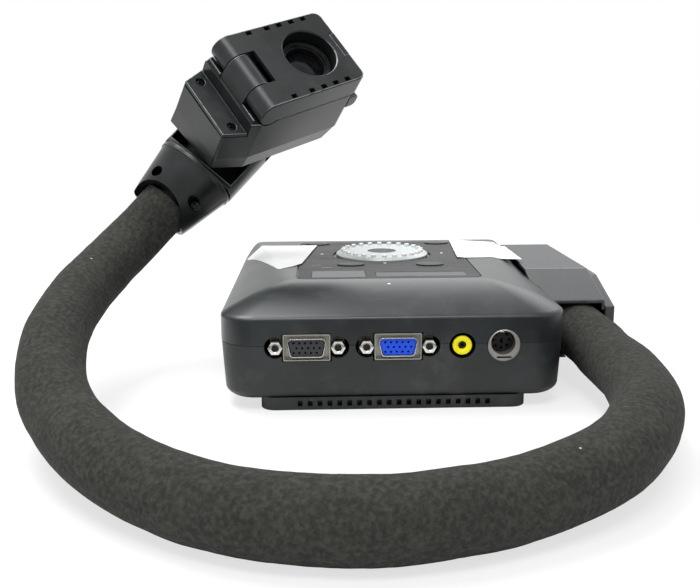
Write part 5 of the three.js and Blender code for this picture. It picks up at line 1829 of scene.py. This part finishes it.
def head_ring(h, z, nose=0.0, near=0.0, far=0.0, near_tail=0.0, far_tail=0.0):
    """Plan outline at one height, with how far each side stands in there."""
    near_half, far_half = h.half_width - near, h.half_width - far
    outline = rounded_outline([(h.tail_x + near_tail, near - h.tail_half, h.side_radius),
        (h.side_x, -near_half, h.side_radius), (h.nose_x - nose, -near_half, h.nose_radius),
        (h.nose_x - nose, far_half, h.nose_radius), (h.side_x, far_half, h.side_radius),
        (h.tail_x + far_tail, h.tail_half - far, h.side_radius)], 6)
    return [(u, v, z) for u, v in outline]


def head_cavity(h, wide, tail_roof):
    deck_z = h.seam_z - h.deck
    wall = h.wall
    hollow = loft([head_ring(h, h.bottom_z + wall, h.bottom_inset + wall, *[wall * 2] * 4),
        head_ring(h, h.crease_z, *[wall] * 5), head_ring(h, deck_z, *[wall] * 5)])
    return carve(hollow, box(h.tail_x, h.step_x + wall, -wide, wide, tail_roof, h.seam_z))


def hinge_shelf(h, low_y, high_y):
    """Slanted ledge that rises from the tail plate to a rim beside the lid's ears."""
    outline = [(h.shelf_x, h.band_z - h.plate), (h.shelf_x, h.shelf_z), (h.shelf_x - h.edge, h.shelf_z),
        (h.plate_front + h.gap, h.band_z + h.plate), (h.plate_front + h.gap, h.band_z - h.plate)]
    return soften(prism("y", outline, low_y, high_y), h.edge * 0.45, 2)


def knuckle_back(h, k):
    """Slope from the middle knuckle down to the tail plate."""
    foot = Vector((h.plate_front + h.gap, h.band_z))
    centre = Vector((k.hinge_x, k.hinge_z))
    span = centre - foot
    lean = asin(k.hinge_radius / span.length)
    reach = sqrt(span.length**2 - k.hinge_radius**2)
    way = Matrix.Rotation(lean, 2) @ span.normalized()
    touch = foot + way * reach
    outline = [tuple(foot), (foot.x, foot.y - h.plate), (centre.x, foot.y - h.plate)]
    outline += [tuple(centre), tuple(touch)]
    return prism("y", outline, k.knuckle_right, k.knuckle_left)


def nose_lug(settings):
    """Rounded ear at the nose's near corner."""
    h = settings.head
    outline = rounded_outline([(h.nose_x - h.wall, h.lug_low, 0), (h.lug_far, h.lug_low, h.lug_round),
        (h.lug_far, h.seam_z - h.plate, h.lug_round), (h.nose_x - h.wall, h.seam_z - h.plate, 0)], 8)
    ear = prism("y", outline, h.lug_near, h.lug_back)
    return soften(ear, h.edge, 3, radians(50))


def tail_plate(settings):
    h = settings.head
    part = (h.plate_front - h.tail_x) / (h.side_x - h.tail_x)
    front_half = blended(h.tail_half, h.half_width, part)
    back_half = h.tail_half
    outline = [(h.plate_back, -back_half), (h.plate_front, -front_half), (h.plate_front, front_half),
        (h.plate_back, back_half)]
    plate = prism("z", outline, h.band_z - h.plate, h.band_z)
    soften(plate, h.edge * 0.7, 3)
    for y in (-h.screw_y, h.screw_y):
        carve(plate, flared("z", lambda grow, y=y: circle(h.screw_x, y, h.screw_radius + h.gap + grow, 36),
            h.band_z - h.plate - PAST, h.band_z, h.gap * 0.6))
    placed(plate, head_frame(settings))
    dress(plate, "tail_plate", "head", "head", ["hinge_cover"])
    for i, y in enumerate((-h.screw_y, h.screw_y)):
        name = f"head_screw_{i + 1}"
        screw = cross_screw(h.screw_radius, h.gap * 5, h.screw_radius / 2, h.plate * 3)
        top = h.band_z - h.gap * 2
        placed(screw, head_frame(settings) @ Matrix.Translation((h.screw_x, y, top)))
        dress(screw, f"{name}_head", "head", "dark_screw", [name])


def make_housing(settings):
    h, k, lens = settings.head, settings.lid, settings.lens
    wide = h.half_width + PAST
    deck_z = h.seam_z - h.deck
    soft = h.edge
    nose, near, skew, lean = h.bottom_inset, h.near_inset, h.tail_skew, h.tail_lean
    body = loft([head_ring(h, h.bottom_z, nose + soft, near + soft, soft, skew + soft, soft - lean),
        head_ring(h, h.bottom_z + soft / 3, nose, near, 0, skew, -lean),
        head_ring(h, h.crease_z - soft / 2, soft / 3, soft / 3, 0, 0, -lean / 2),
        head_ring(h, h.crease_z + soft / 2, 0, 0, 0, 0, -lean / 2), head_ring(h, h.seam_z - soft),
        head_ring(h, h.seam_z - soft / 3, *[soft / 4] * 5), head_ring(h, h.seam_z, *[soft] * 5)])
    for face in body.data.polygons:
        zs = [body.data.vertices[i].co.z for i in face.vertices]
        if max(zs) - min(zs) < soft and abs(face.normal.z) < 0.98:
            face.material_index = ROUNDED
    plate_low = h.band_z - h.plate
    tail_top = box(h.tail_x - PAST, h.step_x, -wide, wide, plate_low - h.gap, h.seam_z + PAST)
    carve(body, tail_top, head_cavity(h, wide, plate_low - h.gap - h.wall))
    shelves = [hinge_shelf(h, -h.shelf_half, k.knuckle_right - k.slot_side),
        hinge_shelf(h, k.knuckle_left + k.slot_side, h.shelf_half)]
    back = knuckle_back(h, k)
    post = box(k.hinge_x - k.hinge_radius, k.hinge_x + k.hinge_radius, k.knuckle_right, k.knuckle_left,
        deck_z, k.hinge_z)
    knuckle = cylinder("y", k.hinge_x, k.hinge_z, k.hinge_radius, k.knuckle_right, k.knuckle_left, 72,
        soft / 2)
    tongue = box(k.notch_near + h.gap, k.nose_x, -k.notch_half + h.gap, k.notch_half - h.gap, h.seam_z
        - h.deck, -h.gap / 2)
    soften(tongue, h.gap, 2)
    fuse(body, *shelves, back, post, knuckle, tongue, nose_lug(settings))
    trough = k.hinge_radius + 2 * h.gap
    beside = k.slot_side - h.gap
    ends = [cylinder("y", k.hinge_x, k.hinge_z, trough, -wide, k.knuckle_right - beside, 72),
        cylinder("y", k.hinge_x, k.hinge_z, trough, k.knuckle_left + beside, wide, 72)]
    well = cylinder("z", 0, 0, lens.radius + h.gap, deck_z - PAST, h.seam_z + PAST, 72)
    pin = cylinder("y", k.hinge_x, k.hinge_z, k.pin_bore, -wide, wide, 32)
    socket = settings.yoke.spindle + h.gap
    bore = circle(h.swivel_x, h.swivel_y, socket)
    spindle = prism("z", bore, h.bottom_z - PAST, h.bottom_z + h.wall + PAST)
    carve(body, *ends, well, pin, spindle)
    placed(body, head_frame(settings))
    dress(body, "housing", "head", "head", ["head_housing"], 30)
    tail_plate(settings)


class DOCCAM_OT_housing(Operator):
    """Build the head's housing, with the middle knuckle, and the plate on its tail"""

    bl_idname = "doccam.housing"
    bl_label = "Head housing"

    def execute(self, context):
        return built(context, make_housing)


def lid_outline(k):
    end = tau - asin((k.hinge_z - k.seam_z) / k.hinge_radius)
    outline = arc(k.hinge_x, k.hinge_z, k.hinge_radius, pi / 2, end, 40)
    return outline + [(k.nose_x, k.seam_z), (k.nose_x, 0)]


def make_lid(settings):
    k, h = settings.lid, settings.head
    half = k.half_width
    back = k.hinge_x - k.hinge_radius
    plan = rounded_outline([(back - PAST, -half, 0), (k.nose_x, -half, k.corner_radius),
        (k.nose_x, half, k.corner_radius), (back - PAST, half, 0)])
    lid = prism("y", lid_outline(k), -half - PAST, half + PAST)
    common(lid, prism("z", plan, k.seam_z - PAST, PAST))
    soften(lid, k.edge, 4)
    hollow = box(k.slot_x + k.wall, k.nose_x - k.wall, -half + k.wall, half - k.wall, k.seam_z
        - PAST, -k.wall)
    slot = box(back - PAST, k.slot_x, k.knuckle_right - k.slot_side, k.knuckle_left + k.slot_side,
        k.seam_z - PAST, PAST)
    notch = box(k.notch_near, k.nose_x + PAST, -k.notch_half, k.notch_half, k.seam_z - PAST, PAST)
    vents = []
    for place in VENT_SHARES:
        for side in (-1, 1):
            x, y = place * k.nose_x, side * (half - k.vent_inset)
            half_x, half_y = k.vent_length / 2, k.vent_width / 2
            vents.append(box(x - half_x, x + half_x, y - half_y, y + half_y, -k.vent_depth, PAST))
    mouth = flared("z", lambda grow: circle(0, 0, k.lens_hole + grow, 96), k.seam_z - PAST, 0, k.hole_edge)
    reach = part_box("hinge_pin")
    pin_half = (Vector(reach[1]) - Vector(reach[0])).length / 2
    pin_half = min(pin_half, half - h.gap)
    pin = cylinder("y", k.hinge_x, k.hinge_z, k.pin_bore, -pin_half, pin_half, 32)
    under = box(k.slot_x - PAST, k.slot_x + k.wall * 2, k.knuckle_right - k.slot_side,
        k.knuckle_left + k.slot_side, k.seam_z - PAST, -k.wall)
    carve(lid, hollow, under)
    ring = prism("z", circle(0, 0, k.lens_hole + h.gap * 4, 96), k.seam_z, -k.wall / 2)
    fuse(lid, ring)
    carve(lid, slot, notch, mouth, pin, gathered(vents))
    placed(lid, head_frame(settings))
    dress(lid, "lid_shell", "lid", "head", ["lens_lid"], 30)


class DOCCAM_OT_lid(Operator):
    """Build the hinged lens lid"""

    bl_idname = "doccam.lid"
    bl_label = "Lens lid"

    def execute(self, context):
        return built(context, make_lid)


def make_lens(settings):
    s = settings.lens
    soft = s.glass_crown / 5
    step = (s.radius - s.rim_radius) / 3
    profile = [(s.bore_radius, s.low_z), (s.radius, s.low_z), (s.radius, s.top_z - soft),
        (s.radius - soft, s.top_z), (s.radius - step, s.top_z),
        (s.radius - step - soft, s.top_z - soft * 2), (s.radius - 2 * step, s.top_z - soft * 2),
        (s.radius - 2 * step - soft, s.top_z - soft * 5), (s.rim_radius, s.top_z - soft * 5),
        (s.rim_radius, s.ledge_z), (s.bore_radius, s.ledge_z)]
    barrel = placed(turned(profile, 96), head_frame(settings))
    dress(barrel, "lens_tube", "head", "black", ["lens_barrel"])
    radius = s.rim_radius - soft
    profile = [(0, s.ledge_z + soft), (radius, s.ledge_z + soft), (radius, s.glass_z - s.glass_crown)]
    steps = 12
    for i in range(1, steps):
        part = 1 - i / steps
        profile.append((radius * part, s.glass_z - s.glass_crown * part * part))
    profile.append((0, s.glass_z))
    glass = placed(turned(profile, 72), head_frame(settings))
    dress(glass, "front_glass", "head", "glass", ["lens_glass"], 50)


class DOCCAM_OT_lens(Operator):
    """Build the lens barrel with its stepped rings, and the glass"""

    bl_idname = "doccam.lens"
    bl_label = "Lens"

    def execute(self, context):
        return built(context, make_lens)


# Labels


def paper_sheet(s, ground, name, folds, curled):
    """A sheet through the folds, lifted along the side that is curled."""
    top = []
    folds = [[Vector(end) * MM for end in fold] for fold in folds]
    for i in range(s.steps + 1):
        u = i / s.steps
        fold = min(int(u * (len(folds) - 1)), len(folds) - 2)
        part = u * (len(folds) - 1) - fold
        for j in range(s.steps + 1):
            v = j / s.steps
            back = folds[fold][0].lerp(folds[fold + 1][0], part)
            place = back.lerp(folds[fold][1].lerp(folds[fold + 1][1], part), v)
            away = {"start": 1 - u, "end": u}[curled]
            lift = s.lift + s.curl * max(0, away * 2.2 - 1.2) ** 2
            under = dropped(ground, place).z
            top.append(Vector((place.x, place.y, max(under, place.z) + lift)))
    around = s.steps + 1
    low = [p.copy() for p in top]
    high = [p + Vector((0, 0, s.thickness)) for p in top]
    faces = []
    shift = len(low)
    for i in range(s.steps):
        for j in range(s.steps):
            k = i * around + j
            faces.append((k, k + 1, k + around + 1, k + around))
            faces.append((shift + k + around, shift + k + around + 1, shift + k + 1, shift + k))
    rim = [i * around for i in range(around)]
    rim += [s.steps * around + j for j in range(1, around)]
    rim += [i * around + s.steps for i in range(s.steps - 1, -1, -1)]
    rim += [j for j in range(s.steps - 1, 0, -1)]
    for here, ahead in zip(rim, rim[1:] + rim[:1]):
        faces.append((here, ahead, shift + ahead, shift + here))
    sheet = solid_from(low + high, faces)
    dress(sheet, name, "base", "paper", (), 50)


def make_labels(settings):
    ground = ground_of(("casing_top", "panel_inlay"))
    for name, folds, curled in LABELS:
        paper_sheet(settings.label, ground, name, folds, curled)


class DOCCAM_OT_labels(Operator):
    """Lay the blank paper labels over the base"""

    bl_idname = "doccam.labels"
    bl_label = "Paper labels"

    def execute(self, context):
        return built(context, make_labels)


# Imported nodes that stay, in their finishes


def make_inner_parts(settings):
    finishes = {"board": ["main_board", "key_board", "sensor_board"],
        "rubber": [f"foot_pad_{i}" for i in range(1, 5)], "black": ["neck_clamp"],
        "dark_screw": ["tilt_pin"], "nickel": ["ballast_plate", "hinge_pin"]
        + [f"neck_core_{i}" for i in range(1, 5)]}
    for finish, nodes in finishes.items():
        for node in nodes:
            mesh = frame["nodes"][node].data
            mesh.materials.clear()
            mesh.materials.append(Materials.get(finish))


class DOCCAM_OT_inner_parts(Operator):
    """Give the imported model's own feet, boards, pins and cores their materials"""

    bl_idname = "doccam.inner_parts"
    bl_label = "Inner parts"

    def execute(self, context):
        return built(context, make_inner_parts)


# Stage


def stage_floor(settings):
    half = settings.stage.floor_half
    depth = settings.casing.wall
    floor = box(-half, half, -half, half, -depth, 0)
    floor.name = "floor"
    finish = Finish(bpy.data.materials.new("floor"))
    cloud = finish.grain(0.6, 2)
    shade = finish.mix(cloud * 0.04, settings.colours.floor, settings.colours.dust)
    plain = finish.node("ShaderNodeBsdfPrincipled", None, {"Base Color": shade, "Roughness": 0.6})
    glow = finish.node("ShaderNodeEmission", None, {"Color": (1, 1, 1, 1), "Strength": 1.0})
    seen = finish.node("ShaderNodeLightPath", output="Is Camera Ray")
    away = finish.node("ShaderNodeVectorMath", {"operation": "LENGTH"}, [finish.place], "Value")
    far = finish.between(away, 0.3, 0.62)
    both = finish.node("ShaderNodeMixShader", None, [seen * (0.7 + far * 0.3), plain, glow])
    finish.node("ShaderNodeOutputMaterial", None, {"Surface": both}, None)
    floor.data.materials.clear()
    floor.data.materials.append(finish.owner)


def studio_world(scene):
    world = bpy.data.worlds.new("studio")
    finish = Finish(world)
    rays = [finish.node("ShaderNodeLightPath", output=name)
        for name in ("Is Camera Ray", "Is Glossy Ray", "Is Transmission Ray")]
    seen = rays[0].most(rays[1]).most(rays[2])
    strength = AMBIENT + seen * (1 - AMBIENT)
    inputs = {"Color": (1, 1, 1, 1), "Strength": strength}
    background = finish.node("ShaderNodeBackground", None, inputs)
    finish.node("ShaderNodeOutputWorld", None, {"Surface": background}, None)
    scene.world = world


def area_lamp(scene, name, place, aim, width, depth, power):
    data = bpy.data.lights.new(name, "AREA")
    data.shape = "RECTANGLE"
    data.size = width
    data.size_y = depth
    data.energy = power
    lamp = bpy.data.objects.new(name, data)
    scene.collection.objects.link(lamp)
    toward = Vector(aim) - Vector(place)
    lamp.location = place
    lamp.rotation_euler = toward.to_track_quat("-Z", "Y").to_euler()


def photo_camera(scene, s):
    data = bpy.data.cameras.new("camera")
    data.sensor_fit = "HORIZONTAL"
    data.lens = data.sensor_width / s.view_width
    data.clip_start = 10 * MM
    camera = bpy.data.objects.new("camera", data)
    scene.collection.objects.link(camera)
    level = cos(s.pitch)
    ahead = Vector((sin(s.yaw) * level, cos(s.yaw) * level, -sin(s.pitch)))
    right = Vector((cos(s.yaw), -sin(s.yaw), 0))
    down = ahead.cross(right)
    leaning_right = right * cos(s.roll) + down * sin(s.roll)
    leaning_down = down * cos(s.roll) - right * sin(s.roll)
    turned_to = Matrix((leaning_right, -leaning_down, -ahead)).transposed().to_4x4()
    place = Vector((s.camera_x, s.camera_y, s.camera_z))
    camera.matrix_world = Matrix.Translation(place) @ turned_to
    scene.camera = camera


class DOCCAM_OT_stage(Operator):
    """Build the floor, the soft lamps and the camera"""

    bl_idname = "doccam.stage"
    bl_label = "Stage"

    def execute(self, context):
        settings = context.scene.document_camera
        stage_floor(settings)
        studio_world(context.scene)
        for lamp in LAMPS:
            area_lamp(context.scene, *lamp)
        photo_camera(context.scene, settings.stage)
        context.scene.view_settings.view_transform = "Standard"
        return {"FINISHED"}


BUILD_STEPS = (DOCCAM_OT_casing, DOCCAM_OT_panel, DOCCAM_OT_dial, DOCCAM_OT_keys, DOCCAM_OT_display_sockets,
    DOCCAM_OT_round_sockets, DOCCAM_OT_cover, DOCCAM_OT_foam, DOCCAM_OT_collar, DOCCAM_OT_yoke,
    DOCCAM_OT_housing, DOCCAM_OT_lid, DOCCAM_OT_lens, DOCCAM_OT_labels, DOCCAM_OT_inner_parts,
    DOCCAM_OT_stage)


class DOCCAM_PT_parts(Panel):
    """Lists the build steps in the sidebar"""

    bl_idname = "DOCCAM_PT_parts"
    bl_label = "Document Camera"
    bl_space_type = "VIEW_3D"
    bl_region_type = "UI"
    bl_category = "Document Camera"

    def draw(self, context):
        column = self.layout.column(align=True)
        for step in BUILD_STEPS:
            column.operator(step.bl_idname)


def register():
    for group in SETTINGS + BUILD_STEPS + (DOCCAM_PT_parts,):
        bpy.utils.register_class(group)
    bpy.types.Scene.document_camera = PointerProperty(type=DocumentCamera)


def unregister():
    del bpy.types.Scene.document_camera
    for group in reversed(SETTINGS + BUILD_STEPS + (DOCCAM_PT_parts,)):
        bpy.utils.unregister_class(group)


def main():
    register()
    for step in BUILD_STEPS:
        group, name = step.bl_idname.split(".")
        getattr(getattr(bpy.ops, group), name)()


if __name__ == "__main__":
    main()
